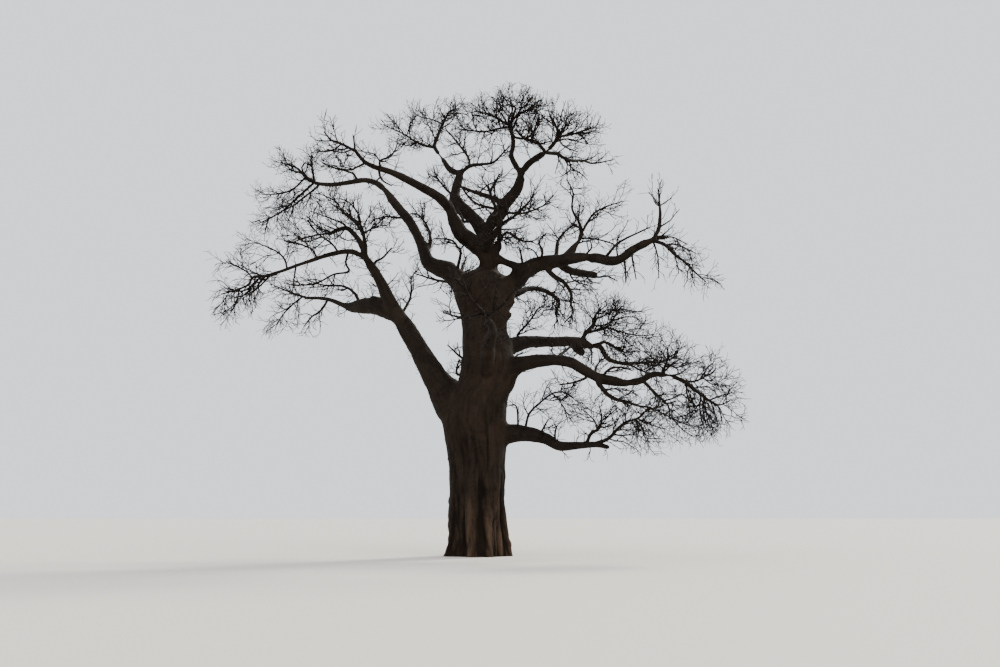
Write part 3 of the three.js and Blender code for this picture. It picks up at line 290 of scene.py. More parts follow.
  ["low_right_end_twigs", "low_right_bough", 1.05, -0.02, [[4.75, 4.51, 0.17],
    [5.4, 4.74, -3.3, 0.145], [5.8, 5.15, -3.8, 0.115], [6.2, 5.45, -4.2, 0.1], [6.7, 5.62, -4.6, 0.085],
    [7.15, 6.08, -4.9, 0.035]],
    [[6.65, 5.6, 0.065], [7.05, 5.38, -4.9, 0.05], [7.85, 5.13, -5.3, 0.025]],
    [[6.55, 5.58, 0.055], [6.85, 5.2, -4.3, 0.045], [6.95, 4.8, -4.1, 0.035], [7.6, 4.75, -4, 0.02]]],
  ["low_right_mid_twigs", "low_right_bough", 0.9, 0.05, [[4.5, 4.49, 0.15],
    [4.7, 4.95, -2.3, 0.125], [5.05, 5.18, -2.1, 0.1], [5.15, 5.7, -1.9, 0.05], [5.05, 6.2, -1.8, 0.025]],
    [[4.95, 5.12, 0.055], [4.85, 5.5, -1.7, 0.045], [4.4, 5.95, -1.5, 0.025]]],
  ["low_right_rise_twigs", "low_right_bough", 0.85, 0.02, [[1.95, 5, 0.11],
    [2.15, 5.8, -0.3, 0.09], [2.6, 6.25, 0, 0.075], [3.15, 6.65, 0.4, 0.06], [3.7, 6.65, 0.8, 0.045],
    [4.25, 6.2, 1.1, 0.02]],
    [[3.1, 6.6, 0.045], [3.5, 6.2, 0.3, 0.035], [3.75, 5.5, 0.5, 0.02]]],
  ["rear_twigs", "rear_bough", 1.5, 0.12, [[-0.18, 11.08, 0.26],
    [-0.6, 11.5, 7, 0.2], [-0.7, 12, 8, 0.12], [-0.5, 12.6, 8.8, 0.04]],
    [[-0.25, 11.15, 0.17], [0.6, 11.5, 7.2, 0.13], [1.7, 11.7, 8.2, 0.04]],
    [[-0.5, 11.4, 0.13], [-1.7, 11.5, 7.6, 0.1], [-2.7, 11.8, 8.6, 0.04]]],
  ["rear_left_twigs", "rear_left_bough", 1.4, 0.12, [[-2.95, 9.7, 0.22],
    [-3.6, 10.5, 6.2, 0.17], [-4, 11.3, 7, 0.1], [-4.6, 12.1, 7.7, 0.04]],
    [[-3.25, 10.05, 0.13], [-2.9, 10.8, 6.5, 0.09], [-2.9, 11.7, 7.2, 0.04]],
    [[-3.5, 10.4, 0.11], [-4.4, 10.3, 6.5, 0.08], [-5.3, 10.6, 7.2, 0.04]]],
  ["rear_low_twigs", "rear_low_bough", 1.3, 0.08, [[0.12, 7.88, 0.24],
    [0.5, 8.15, 6.5, 0.18], [0.7, 8.6, 7.4, 0.11], [0.5, 9.3, 8.2, 0.04]],
    [[0.15, 7.92, 0.15], [-0.6, 8.1, 6.4, 0.11], [-1.3, 8.7, 7.3, 0.04]],
    [[0.5, 8.15, 0.11], [1.2, 8.05, 6.9, 0.08], [1.9, 8.4, 7.8, 0.04]]],
  ["front_high_twigs", "crown_left_bough", 1.2, 0.14, [[0.05, 12.7, 0.42],
    [0.5, 13.3, -1.3, 0.33], [0.9, 13.9, -2.7, 0.25], [0.8, 14.6, -4, 0.17], [0.5, 15.4, -5.2, 0.1],
    [0.9, 16.3, -6, 0.04]],
    [[0.85, 14, 0.15], [1.7, 14.5, -3.6, 0.11], [2.4, 15.3, -4.6, 0.04]],
    [[0.75, 14.7, 0.12], [-0.2, 15, -4.8, 0.09], [-0.9, 15.9, -5.8, 0.04]]],
  ["front_twigs", "front_bough", 1.4, 0.12, [[0.47, 9.75, 0.24],
    [0.1, 10.2, -6.9, 0.18], [-0.4, 10.8, -7.7, 0.11], [-0.7, 11.6, -8.3, 0.04]],
    [[0.35, 9.9, 0.15], [1, 10.4, -7.1, 0.11], [1.5, 11.1, -8, 0.04]],
    [[0.2, 10.05, 0.11], [-0.7, 9.9, -7.3, 0.08], [-1.5, 10.1, -8.2, 0.04]]],
]

# Finer stems, in the same form as the sprays, after the region that each belongs to.
FINE_STEMS = [
  ["low_left", "low_left_bough", 0.8, 0.12, [[-4.4, 11.9, 0.12],
    [-4.43, 12.33, -1.9, 0.1], [-4.1, 12.53, -1.8, 0.08], [-3.75, 12.95, -1.7, 0.04]]],
  ["low_left", "low_left_arm", 0.8, -0.05, [[-5.6, 12.75, 0.1],
    [-5.7, 12.27, -2.4, 0.08], [-5.55, 11.9, -2.2, 0.075], [-6.2, 11.77, -2.3, 0.07],
    [-6.9, 11.4, -2.5, 0.06],
    [-7.53, 11.3, -2.7, 0.05], [-8.2, 11.35, -2.9, 0.03]]],
  ["low_left", "low_left_arm", 0.6, -0.15, [[-7.8, 12.15, 0.07],
    [-7.9, 11.6, -3.7, 0.05], [-7.95, 11, -3.8, 0.025]]],
  ["low_left", "low_left_arm", 0.7, 0.12, [[-6.9, 12.45, 0.09],
    [-7.2, 12.9, -3.4, 0.07], [-7.7, 13.1, -3.6, 0.05], [-8.4, 13.25, -3.9, 0.03]]],
  ["low_left", "low_left_spur", 0.8, 0.08, [[-5, 10.45, 0.16],
    [-5.3, 10.95, 0.1, 0.12], [-5.8, 11.25, 0.4, 0.09], [-6.6, 11.3, 0.8, 0.06], [-7.3, 11.5, 1.2, 0.03]]],
  ["low_left", "low_left_spur", 0.8, -0.1, [[-6.4, 10.65, 0.1],
    [-6.7, 10.2, 1.9, 0.08], [-7.1, 9.9, 2.2, 0.06], [-7.4, 9.5, 2.5, 0.03]]],
  ["upper_left", "upper_left_bough", 0.8, 0.1, [[-2.33, 12.65, 0.34],
    [-2.13, 12.98, 0.9, 0.24], [-2.09, 13.4, 1.15, 0.13], [-2.25, 13.95, 1.5, 0.1],
    [-2.6, 14.42, 1.9, 0.06], [-2.95, 14.5, 2.3, 0.03]]],
  ["upper_left", "upper_left_bough", 0.8, 0.1, [[-0.9, 11.7, 0.15],
    [-0.77, 12.75, -0.3, 0.11], [-0.9, 12.98, -0.5, 0.09], [-1.2, 13.3, -0.8, 0.07],
    [-1.95, 13.37, -1.2, 0.03]]],
  ["upper_left", "upper_left_bough", 0.8, 0, [[-3.1, 14.4, 0.12],
    [-3.5, 14.3, 1.7, 0.09], [-4, 14.35, 2, 0.07], [-4.6, 14.2, 2.4, 0.03]]],
  ["upper_left", "upper_left_arm", 0.8, 0.12, [[-5.3, 15.95, 0.1],
    [-5.5, 16.3, 2.6, 0.08], [-5.9, 16.45, 2.5, 0.06], [-6.4, 16.7, 2.4, 0.03]]],
  ["upper_left", "crown_left_arm", 0.8, 0, [[-5, 16.8, 0.1],
    [-5.35, 16.6, -4.2, 0.08], [-5.65, 16.48, -4.4, 0.07], [-6.35, 16.57, -4.8, 0.05],
    [-6.87, 16.8, -5.2, 0.025]]],
  ["crown", "crown_right_bough", 0.9, 0.05, [[1, 14.55, 0.12],
    [1.5, 14.5, -0.9, 0.1], [1.93, 14.5, -1.2, 0.09], [2.35, 14.63, -1.5, 0.07], [2.82, 14.85, -1.9, 0.05],
    [3.13, 15, -2.2, 0.03]]],
  ["crown", "crown_right_bough", 0.8, 0, [[0.6, 12.9, 0.1],
    [0.9, 13.3, -0.32, 0.12], [1.05, 13.52, -0.55, 0.11], [1.25, 13.64, -0.8, 0.1],
    [1.57, 13.45, -1.1, 0.08], [1.93, 13.27, -1.4, 0.06], [2.37, 13.2, -1.7, 0.03]]],
  ["crown", "crown_mid_bough", 0.8, 0.1, [[-0.9, 15.3, 0.12],
    [-1.4, 15.55, 1.5, 0.09], [-1.75, 16, 1.9, 0.07], [-2.2, 16.3, 2.3, 0.03]]],
  ["upper_right", "upper_right_arm", 0.8, 0.08, [[5.4, 12.4, 0.14],
    [5.83, 12.98, -2.9, 0.1], [6.23, 13.3, -3, 0.08], [7, 13.68, -3.2, 0.06], [7.42, 13.88, -3.3, 0.03]]],
  ["upper_right", "upper_right_arm", 0.6, -0.15, [[6.25, 12.5, 0.1],
    [6.3, 11.97, -3.1, 0.07], [6.3, 11.4, -3.2, 0.03]]],
  ["upper_right", "upper_right_arm", 0.6, -0.15, [[6.6, 12.8, 0.09],
    [6.62, 12.42, -3.4, 0.07], [6.75, 11.55, -3.6, 0.03]]],
  ["upper_right", "upper_right_arm", 0.6, -0.15, [[7.5, 13.25, 0.08],
    [7.7, 12.6, -3.9, 0.05], [7.72, 11.6, -4, 0.025]]],
  ["upper_right", "upper_right_bough", 0.7, 0.15, [[1.9, 12, 0.12],
    [1.85, 12.5, -0.9, 0.09], [1.77, 12.95, -1.1, 0.05]]],
  ["upper_right", "upper_right_bough", 0.8, 0.1, [[2.6, 12.3, 0.12],
    [2.75, 12.8, -1.4, 0.09], [2.6, 13.2, -1.8, 0.07], [2.9, 13.6, -2.1, 0.03]]],
  ["upper_right", "upper_right_spur", 0.7, 0, [[4.6, 11.85, 0.12],
    [5.1, 11.65, -0.1, 0.08], [5.5, 11.7, 0.1, 0.06], [5.9, 11.5, 0.3, 0.03]]],
  ["mid_right", "mid_right_bough", 0.9, 0.05, [[1.5, 8.8, 0.12],
    [1.7, 9.18, 0.9, 0.09], [2.05, 9.57, 1.1, 0.08], [2.33, 9.95, 1.3, 0.07], [2.55, 10.27, 1.5, 0.05],
    [2.9, 10.47, 1.7, 0.03]]],
  ["mid_right", "mid_right_bough", 0.8, 0.02, [[4.7, 8.65, 0.15],
    [5.1, 8.72, 3.2, 0.11], [5.37, 8.83, 3.4, 0.09], [5.7, 8.63, 3.6, 0.07], [6, 8.43, 3.9, 0.03]]],
  ["mid_right", "broad_right_bough", 0.6, 0.02, [[3.2, 8.05, 0.14],
    [3.4, 8.25, -0.6, 0.11], [3.7, 8.45, 0.3, 0.1], [3.95, 8.7, 1.6, 0.09]]],
  ["broad_right", "broad_right_bough", 0.8, -0.05, [[4.6, 7.5, 0.14],
    [4.47, 7.27, -2, 0.1], [4, 7.1, -2.2, 0.08], [3.4, 7, -2.5, 0.04]]],
  ["broad_right", "broad_right_bough", 0.8, 0.12, [[5.2, 7.3, 0.12],
    [5.5, 7.65, -2.4, 0.09], [6, 7.75, -2.7, 0.07], [6.5, 7.6, -3, 0.03]]],
  ["low_right", "low_right_bough", 0.7, 0.1, [[1.6, 4.95, 0.1],
    [1.67, 5.45, -0.7, 0.08], [1.6, 6.1, -0.9, 0.06], [1.3, 6.15, -1, 0.03]]],
  ["low_right", "low_right_bough", 0.7, 0.1, [[2.6, 4.85, 0.1],
    [2.65, 5.05, -1.3, 0.08], [2.9, 5.5, -1.4, 0.04]]],
  ["low_right", "low_right_bough", 0.7, 0.1, [[3.3, 4.5, 0.1],
    [3.2, 4.85, -1.7, 0.08], [3.28, 5.3, -1.8, 0.04]]],
  ["deep", "rear_bough", 1.2, 0.1, [[0.3, 10.2, 0.25],
    [1.1, 10.8, 4.8, 0.18], [1.9, 11.3, 5.8, 0.1], [2.4, 12.1, 6.4, 0.04]]],
  ["deep", "rear_bough", 1.1, 0.1, [[0.28, 9.9, 0.2],
    [-0.3, 10.5, 3.6, 0.14], [-0.5, 10.9, 4.4, 0.09], [-0.3, 11.3, 5.2, 0.04]]],
  ["deep", "rear_low_bough", 1.1, 0.05, [[0.3, 7.3, 0.22],
    [-0.4, 7.4, 4.1, 0.16], [-0.9, 7.5, 5.1, 0.1], [-0.8, 8.1, 6, 0.04]]],
  ["crown", "crown_top_arm", 0.7, 0.15, [[1.52, 18.25, 0.1],
    [1.6, 18.65, -1.6, 0.08], [1.68, 18.9, -1.7, 0.07], [1.85, 19.1, -1.9, 0.06], [2.2, 19.3, -2.2, 0.04],
    [2.5, 19.55, -2.5, 0.025]]],
  ["crown", "crown_top_arm", 0.7, 0.15, [[1.4, 18.5, 0.1],
    [1.3, 18.85, -1.3, 0.09], [1.45, 19.2, -1.2, 0.07], [1.45, 19.55, -1.1, 0.05], [1.05, 19.85, -1, 0.025]]],
  ["crown", "crown_top_arm", 0.7, 0.15, [[1.75, 18.95, 0.07],
    [1.85, 19.35, -2.2, 0.06], [1.75, 19.75, -2.5, 0.03]],
    [[1.85, 19.3, 0.05], [2.1, 19.55, -2.6, 0.04], [2.3, 19.85, -2.9, 0.025]]],
  ["crown", "crown_top_arm", 0.7, 0.1, [[1.37, 18.5, 0.08],
    [1.05, 18.95, -0.9, 0.07], [0.8, 19.35, -0.6, 0.05], [0.75, 19.75, -0.4, 0.03]]],
  ["right_crown", "crown_right_arm", 0.8, 0.12, [[2.85, 17.35, 0.16],
    [2.55, 17.75, -2.2, 0.12], [2.1, 17.9, -2, 0.1], [1.85, 18.08, -1.9, 0.09], [1.6, 18.35, -1.7, 0.07]],
    [[2.3, 17.85, 0.09], [2.42, 18.2, -2.4, 0.08], [2.63, 18.6, -2.6, 0.06], [2.65, 19.05, -2.8, 0.03]],
    [[2.42, 18.15, 0.07], [2.1, 18.6, -2.1, 0.05], [1.85, 18.9, -1.9, 0.03]]],
  ["right_crown", "right_dome_twigs_0", 0.7, 0.12, [[3.5, 18.08, 0.1],
    [3.8, 18.5, -3.8, 0.075], [3.87, 18.85, -4, 0.05], [4.2, 19.15, -4.3, 0.025]],
    [[3.6, 18.2, 0.06], [3.35, 18.5, -3.6, 0.055], [2.75, 19, -4.3, 0.03]]],
  ["right_crown", "right_dome_twigs_1", 0.6, 0.05, [[4.2, 18.15, 0.07],
    [4.75, 18.2, -3.1, 0.055], [5.2, 18.33, -3.3, 0.03]],
    [[4.3, 18.16, 0.05], [4.6, 17.95, -3.2, 0.04], [4.8, 17.7, -3.1, 0.025]]],
  ["right_crown", "right_dome_twigs_0", 0.6, -0.05, [[3.55, 17.95, 0.07],
    [3.65, 17.65, -1.6, 0.06], [3.95, 17.45, -1.3, 0.05], [4.35, 17.3, -1, 0.03]]],
  ["right_crown", "right_tail_twigs_1", 0.6, -0.05, [[4, 16.5, 0.05],
    [4.4, 16.35, -0.2, 0.04], [4.75, 16, 0, 0.02]]],
  ["mid_right", "mid_right_bough", 0.5, 0, [[4, 8.8, 0.5],
    [4.22, 8.56, 2.35, 0.44], [4.4, 8.33, 2.25, 0.28]]],
  ["mid_right", "mid_right_bough", 0.9, 0.03, [[4.75, 8.65, 0.16],
    [5.15, 8.76, 2.8, 0.13], [5.33, 8.82, 2.9, 0.12], [5.57, 8.75, 3, 0.1], [5.85, 8.57, 3.1, 0.08],
    [6.12, 8.41, 3.3, 0.06], [6.5, 8.37, 3.5, 0.03]]],
  ["mid_right", "mid_right_rise_twigs_2", 0.6, 0.02, [[5.8, 10, 0.06],
    [6.03, 10.25, 4.1, 0.05], [6.54, 10.17, 4.4, 0.035], [7.1, 10.12, 4.7, 0.02]]],
  ["mid_right", "mid_right_rise_twigs_2", 0.6, 0, [[5.4, 9.6, 0.06],
    [6.02, 9.86, 3.8, 0.05], [6.58, 9.91, 4.1, 0.035], [6.87, 9.73, 4.3, 0.02]]],
  ["mid_right", "mid_right_rise_twigs_0", 0.6, 0.1, [[5.05, 10, 0.06],
    [5.3, 10.3, 3.3, 0.045], [5.5, 10.45, 3.4, 0.02]]],
  ["mid_right", "mid_right_rise_twigs_0", 0.6, 0.05, [[4.95, 9.8, 0.06],
    [5.5, 10.05, 3.2, 0.045], [5.9, 10.3, 3.3, 0.02]]],
  ["mid_right", "broad_right_bough", 0.6, 0.02, [[4.95, 7.4, 0.1],
    [4.96, 7.71, -1.6, 0.08], [5.14, 8.01, -1, 0.06], [5.44, 8.18, -0.5, 0.04]]],
  ["mid_right", "mid_right_bough", 0.6, -0.1, [[4.75, 8.6, 0.08],
    [4.8, 8.3, 2.8, 0.06], [4.75, 7.9, 2.7, 0.03]]],
  ["broad_right", "broad_right_arm", 0.7, 0.1, [[7.75, 7.5, 0.08],
    [8.08, 7.8, -2.9, 0.06], [8.38, 7.93, -2.8, 0.025]]],
  ["broad_right", "broad_right_arm", 0.7, 0.1, [[8.1, 7.42, 0.08],
    [8.4, 7.45, -3.3, 0.06], [8.66, 7.59, -3.4, 0.045], [8.92, 7.8, -3.5, 0.02]]],
  ["broad_right", "broad_right_end_twigs_3", 0.7, 0.1, [[9.3, 7.22, 0.06],
    [9.55, 7.54, -2.5, 0.045], [9.68, 7.8, -2.4, 0.02]]],
  ["broad_right", "broad_right_end_twigs_3", 0.7, 0.08, [[9.5, 7.35, 0.05],
    [9.8, 7.5, -2.7, 0.04], [10.02, 7.71, -2.8, 0.02]]],
  ["broad_right", "broad_right_end_twigs_0", 0.6, -0.12, [[9.75, 6.3, 0.06],
    [9.86, 5.86, -3.2, 0.04], [10, 5.36, -3.1, 0.02]]],
  ["broad_right", "broad_right_end_twigs_0", 0.6, -0.12, [[9.5, 6.5, 0.06],
    [9.52, 5.86, -3.4, 0.04], [9.58, 5.32, -3.5, 0.02]]],
  ["broad_right", "broad_right_end_twigs_0", 0.6, -0.12, [[9.3, 6.6, 0.06],
    [9.27, 5.94, -3.1, 0.04], [9.38, 5.32, -3, 0.03], [9.57, 5.02, -3, 0.02]]],
  ["broad_right", "broad_right_under_twigs_0", 0.6, -0.1, [[8.1, 5.6, 0.05],
    [8.54, 5.11, -4.9, 0.035], [8.9, 4.86, -5.1, 0.02]]],
  ["upper_right", "upper_right_bough", 0.6, 0.1, [[4.5, 12.55, 0.08],
    [4.86, 12.95, -2.1, 0.06], [4.8, 13.3, -2, 0.03]]],
  ["upper_right", "upper_right_arm", 0.6, 0.1, [[6, 12.5, 0.08],
    [5.95, 12.98, -2.7, 0.05], [6.1, 13.3, -2.7, 0.02]]],
  ["upper_right", "upper_right_bough", 0.6, 0.1, [[2.7, 12.35, 0.08],
    [2.36, 12.83, -1.6, 0.05], [1.97, 12.94, -1.7, 0.02]]],
  ["upper_right", "upper_right_spur", 0.7, -0.05, [[3.9, 11.95, 0.09],
    [4, 11.6, -0.6, 0.06], [4.3, 11.4, -0.5, 0.04], [4.7, 11.3, -0.4, 0.02]]],
  ["upper_right", "upper_right_spur", 0.7, -0.05, [[4.6, 11.8, 0.08],
    [4.75, 11.5, -0.2, 0.05], [5.2, 11.35, 0, 0.02]]],
  ["low_left", "low_left_hook_twigs_0", 0.8, 0.1, [[-5.7, 13.78, 0.09],
    [-5.9, 14.05, -1.9, 0.07], [-6.5, 14.3, -2.1, 0.05], [-7.3, 14.6, -2.4, 0.02]]],
  ["low_left", "low_left_hook_twigs_0", 0.8, 0.05, [[-6.35, 13.6, 0.08],
    [-7.1, 13.5, -1.2, 0.06], [-7.6, 13.35, -1, 0.045], [-8.3, 13.1, -0.8, 0.02]]],
  ["low_left", "low_left_crown_twigs_0", 0.8, 0.1, [[-4.95, 13.4, 0.1],
    [-5.25, 13.95, -2.6, 0.08], [-5.9, 14.6, -2.9, 0.06], [-6.3, 15.1, -3.2, 0.04], [-7, 15.4, -3.5, 0.02]]],
  ["low_left", "low_left_crown_twigs_0", 0.8, 0.1, [[-5.1, 13.9, 0.08],
    [-5.2, 14.4, -3.9, 0.06], [-5.6, 14.95, -4.2, 0.045], [-6.1, 15.2, -4.5, 0.02]]],
  ["low_right", "low_right_mid_twigs_0", 0.6, 0.05, [[4.85, 5.1, 0.07],
    [5.21, 5.52, -2.2, 0.05], [5.51, 5.77, -2.4, 0.04], [5.85, 6.03, -2.6, 0.02]]],
  ["low_left", "low_left_end_twigs_0", 0.6, -0.1, [[-9.1, 11.72, 0.06],
    [-9.43, 11.22, -4.2, 0.04], [-9.16, 10.86, -4, 0.02]]],
  ["low_left", "low_left_end_twigs_0", 0.7, -0.08, [[-8.9, 11.78, 0.08],
    [-9.3, 11.3, -4.5, 0.06], [-9.75, 10.95, -4.7, 0.045], [-10.4, 10.75, -4.9, 0.02]]],
  ["upper_left", "crown_left_end_twigs_0", 0.55, 0.1, [[-6, 17.65, 0.07],
    [-6.3, 17.8, -4.4, 0.06], [-6.78, 17.81, -4.5, 0.045], [-7.22, 17.86, -4.7, 0.025]]],
  ["upper_left", "crown_left_arm", 0.5, 0.1, [[-5.45, 17.4, 0.08],
    [-5.5, 17.8, -4.2, 0.06], [-5.56, 18.1, -4.1, 0.03]]],
  ["upper_left", "crown_left_end_twigs_1", 0.5, 0.05, [[-5.95, 17.3, 0.05],
    [-6.33, 17.33, -4.6, 0.04], [-6.7, 17.45, -4.5, 0.025]]],
  ["upper_left", "crown_left_arm", 0.45, -0.1, [[-4.4, 16.5, 0.12],
    [-4.33, 16.2, -3.3, 0.09], [-4.15, 15.95, -3.2, 0.07], [-3.8, 15.75, -3.1, 0.04]],
    [[-4.3, 16.15, 0.07], [-4.5, 15.95, -3.4, 0.05], [-4.6, 15.8, -3.4, 0.025]]],
  ["upper_left", "upper_left_arm", 0.5, 0.1, [[-7.05, 15.85, 0.1],
    [-7.5, 16.15, 3.6, 0.08], [-7.75, 16.55, 3.5, 0.06], [-7.6, 16.85, 3.4, 0.03]]],
  ["low_left", "low_left_end_twigs_0", 0.5, 0, [[-9.3, 11.6, 0.07],
    [-9.6, 11.4, -4.3, 0.06], [-9.85, 11.12, -4.4, 0.055], [-10.35, 11.03, -4.6, 0.045],
    [-10.85, 11.03, -4.8, 0.03]]],
  ["upper_left", "upper_left_arm", 0.8, -0.05, [[-6.95, 15.85, 0.1],
    [-7.1, 15.65, 3.6, 0.09], [-7.65, 15.19, 3.9, 0.08], [-8.07, 14.83, 4.1, 0.06], [-8.8, 14.45, 4.4, 0.04],
    [-9.4, 13.95, 4.7, 0.02]]],
  ["upper_right", "upper_right_arm", 0.7, 0.02, [[7.4, 13.28, 0.24],
    [7.75, 13.4, -3.2, 0.21], [8.02, 13.4, -3.1, 0.17]],
    [[7.98, 13.4, 0.07], [8.4, 13.42, -3, 0.05], [9, 13.1, -2.9, 0.025]]],
]

# Webs and links, part of the skin alone: short bridges where a bough joins the trunk or another bough.
WEBS = [
  ["trunk", [0.55, 5.9, 0.9], [[1.08, 6.8, -0.2, 0.66], [1.4, 7.36, -0.4, 0.54], [1.8, 7.82, -0.55, 0.4]]],
  ["trunk", [0.9, 10.5, 0.5], [[1.33, 10.53, -0.25, 0.36], [1.52, 10.58, -0.3, 0.2]]],
  ["trunk", [0.8, 9.9, 0.5], [[1.2, 10, -0.3, 0.36], [1.38, 10.06, -0.35, 0.16]]],
  ["crown_right_bough", [0.5, 12.7, 0.4], [[0.88, 12.46, -0.2, 0.38], [1.19, 12.28, -0.3, 0.34],
    [1.56, 12.16, -0.42, 0.34], [2, 12.05, -0.5, 0.4]]],
  ["crown_right_bough", [0.4, 13, 0.5], [[0.3, 13.55, 0.05, 0.5], [0.29, 13.98, 0.08, 0.4]]],
  ["crown_right_bough", [0.6, 12.5, 0.4], [[0.86, 12.9, -0.2, 0.26], [0.87, 13.3, -0.25, 0.21],
    [0.92, 13.8, -0.3, 0.18], [0.86, 14.25, -0.35, 0.28]]],
  ["crown_left_bough", [-0.85, 14, 0.16], [[-0.72, 14.11, 0, 0.14], [-0.3, 14.12, 0.6, 0.14]]],
  ["crown_mid_bough", [-0.85, 14.9, 0.16], [[-0.9, 14.68, 0.5, 0.14], [-0.79, 14.42, 0, 0.13],
    [-0.66, 14.14, -0.3, 0.13]]],
  ["trunk", [0.34, 6.7, 0.8], [[0.35, 7.5, -1, 0.66], [0.38, 8.1, -1.5, 0.62], [0.41, 8.6, -2, 0.54]]],
  ["upper_right_bough", [3.5, 12.35, 0.4], [[3.86, 12.7, -1.4, 0.32], [4.07, 13, -1.5, 0.24],
    [4.25, 13.25, -1.48, 0.18]]],
]

# The regions of the crown, each one piece: the sprays that it stands for.
REGIONS = {
    "low_left": ["low_left_end_twigs", "low_left_inner_twigs", "low_left_spur_twigs", "low_left_hook_twigs",
                 "low_left_crown_twigs"],
    "upper_left": ["upper_left_fan_twigs", "crown_left_end_twigs", "crown_left_side_twigs"],
    "crown": ["crown_mid_twigs", "crown_mid_right_twigs", "crown_cross_twigs", "crown_top_twigs",
              "crown_top_right_twigs"],
    "right_crown": ["right_dome_twigs", "right_tail_twigs"],
    "upper_right": ["riser_left_twigs", "riser_twigs", "horn_twigs", "tail_twigs", "hanging_twigs",
                    "short_right_twigs"],
    "mid_right": ["mid_right_end_twigs", "mid_right_rise_twigs"],
    "broad_right": ["broad_right_end_twigs", "broad_right_rise_twigs", "broad_right_under_twigs",
                    "broad_right_drop_twigs"],
    "low_right": ["low_right_end_twigs", "low_right_mid_twigs", "low_right_rise_twigs"],
    "deep": ["rear_twigs", "rear_left_twigs", "rear_low_twigs", "front_high_twigs", "front_twigs"],
}

# How full the finer twigs of a spray or a region are: the share of them that is kept, and the share of the
# spray's reach that they take up.
FULLNESS = {
    "right_crown": (0.85, 0.85), "right_dome_twigs": (0.85, 0.8), "right_tail_twigs": (0.6, 0.9),
    "riser_twigs": (0.65, 1), "riser_left_twigs": (0.6, 1), "horn_twigs": (0.4, 0.75), "tail_twigs": (1, 1),
    "upper_right": (0.75, 1), "hanging_twigs": (0.8, 1), "short_right_twigs": (0.7, 1),
    "crown_cross_twigs": (0.5, 0.9), "crown_mid_right_twigs": (0.8, 1), "crown_mid_twigs": (1, 0.9),
    "crown_top_right_twigs": (0.95, 0.9), "crown_top_twigs": (1, 0.95), "crown": (1, 0.93),
    "low_left_crown_twigs": (0.7, 0.9), "low_left_hook_twigs": (0.7, 1), "low_left": (0.8, 1),
    "low_left_end_twigs": (1, 1), "upper_left_fan_twigs": (1, 0.9), "upper_left": (0.85, 1),
    "front_high_twigs": (0.45, 1), "deep": (0.4, 0.9), "low_right": (0.95, 1), "mid_right": (1, 1),
    "broad_right": (0.9, 1),
}

# How twigs branch. The first two rows are the solids' own rule, and the others carry it to finer twigs:
# what they grow on (0 for stems, then the rows in turn), the stem's length for each twig, its own length,
# the angle it leaves at, how it wanders and rises, its steps, its thickness at foot and tip, and the sides
# of its section.
RULES = [
    {"on": [0], "every": 0.85, "length": 1.35, "lean": 54, "wander": 0.3, "rise": 0, "steps": 4,
     "foot": 0.078, "tip": 0.026, "sides": 5},
    {"on": [1], "every": 1.15, "length": 0.75, "lean": 50, "wander": 0.34, "rise": 0, "steps": 3,
     "foot": 0.05, "tip": 0.02, "sides": 4},
    {"on": [0], "every": 0.36, "length": 1.15, "lean": 50, "wander": 0.34, "rise": 0.02, "steps": 5,
     "foot": 0.06, "tip": 0.024, "sides": 4},
    {"on": [0, 1, 2, 3], "every": 0.22, "length": 0.7, "lean": 48, "wander": 0.38, "rise": 0.02, "steps": 4,
     "foot": 0.037, "tip": 0.02, "sides": 3},
    {"on": [1, 2, 3, 4], "every": 0.18, "length": 0.36, "lean": 45, "wander": 0.38, "rise": 0.03,
     "steps": 2, "foot": 0.028, "tip": 0.017, "sides": 3},
]

SOLIDS_ROWS = 2
FIRST_TWIG = 0.12  # the share of a stem below its first twig
FOOT_SHARE = 0.8  # a twig is no thicker than this share of its stem
CLEAR_OF_LIMBS = 0.03
LOWEST_TWIG = 3.7
GOLDEN_ANGLE = math.radians(137.5)
LINE_POINTS = 36

# Shoots on the boughs: which radius of bough bears them, how they branch, and the region that each bough's
# join, by the start of its name.
SHOOTS_BELOW = 0.3
SHOOTS = {"every": 0.5, "length": 0.8, "lean": 74, "wander": 0.4, "rise": 0.05, "steps": 3, "foot": 0.044,
          "tip": 0.018, "sides": 4}
SHOOT_REGIONS = {"low_left": "low_left", "upper_left": "upper_left", "crown": "crown", "rear": "deep",
                 "upper_right": "upper_right", "mid_right": "mid_right", "broad_right": "broad_right",
                 "low_right": "low_right", "front": "deep"}

# The skin's pieces, and how the names of the limbs in each begin.
ZONES = {"trunk_skin": ["trunk"], "left_boughs_skin": ["low_left", "upper_left", "rear", "front"],
         "crown_boughs_skin": ["crown"],
         "right_boughs_skin": ["upper_right", "mid_right", "broad_right", "low_right", "short_right"]}

# The trunk's flare at the ground and the flutes up its sides. Each flute has its share, how many go round,
# and turn.
FLARE = 0.13
FLARE_HEIGHT = 0.9
FLUTE_DEPTH = 0.055
FLUTE_HEIGHT = 3.2
FLUTES = [(0.5, 5, 0.6), (0.35, 8, 2.1), (0.25, 3, 4)]
BELOW_GROUND = [-0.4, -0.2]  # rings that are cut away at the ground
TRUNK_RINGS = 90
TRUNK_SIDES = 72
LIMB_SIDES = 18

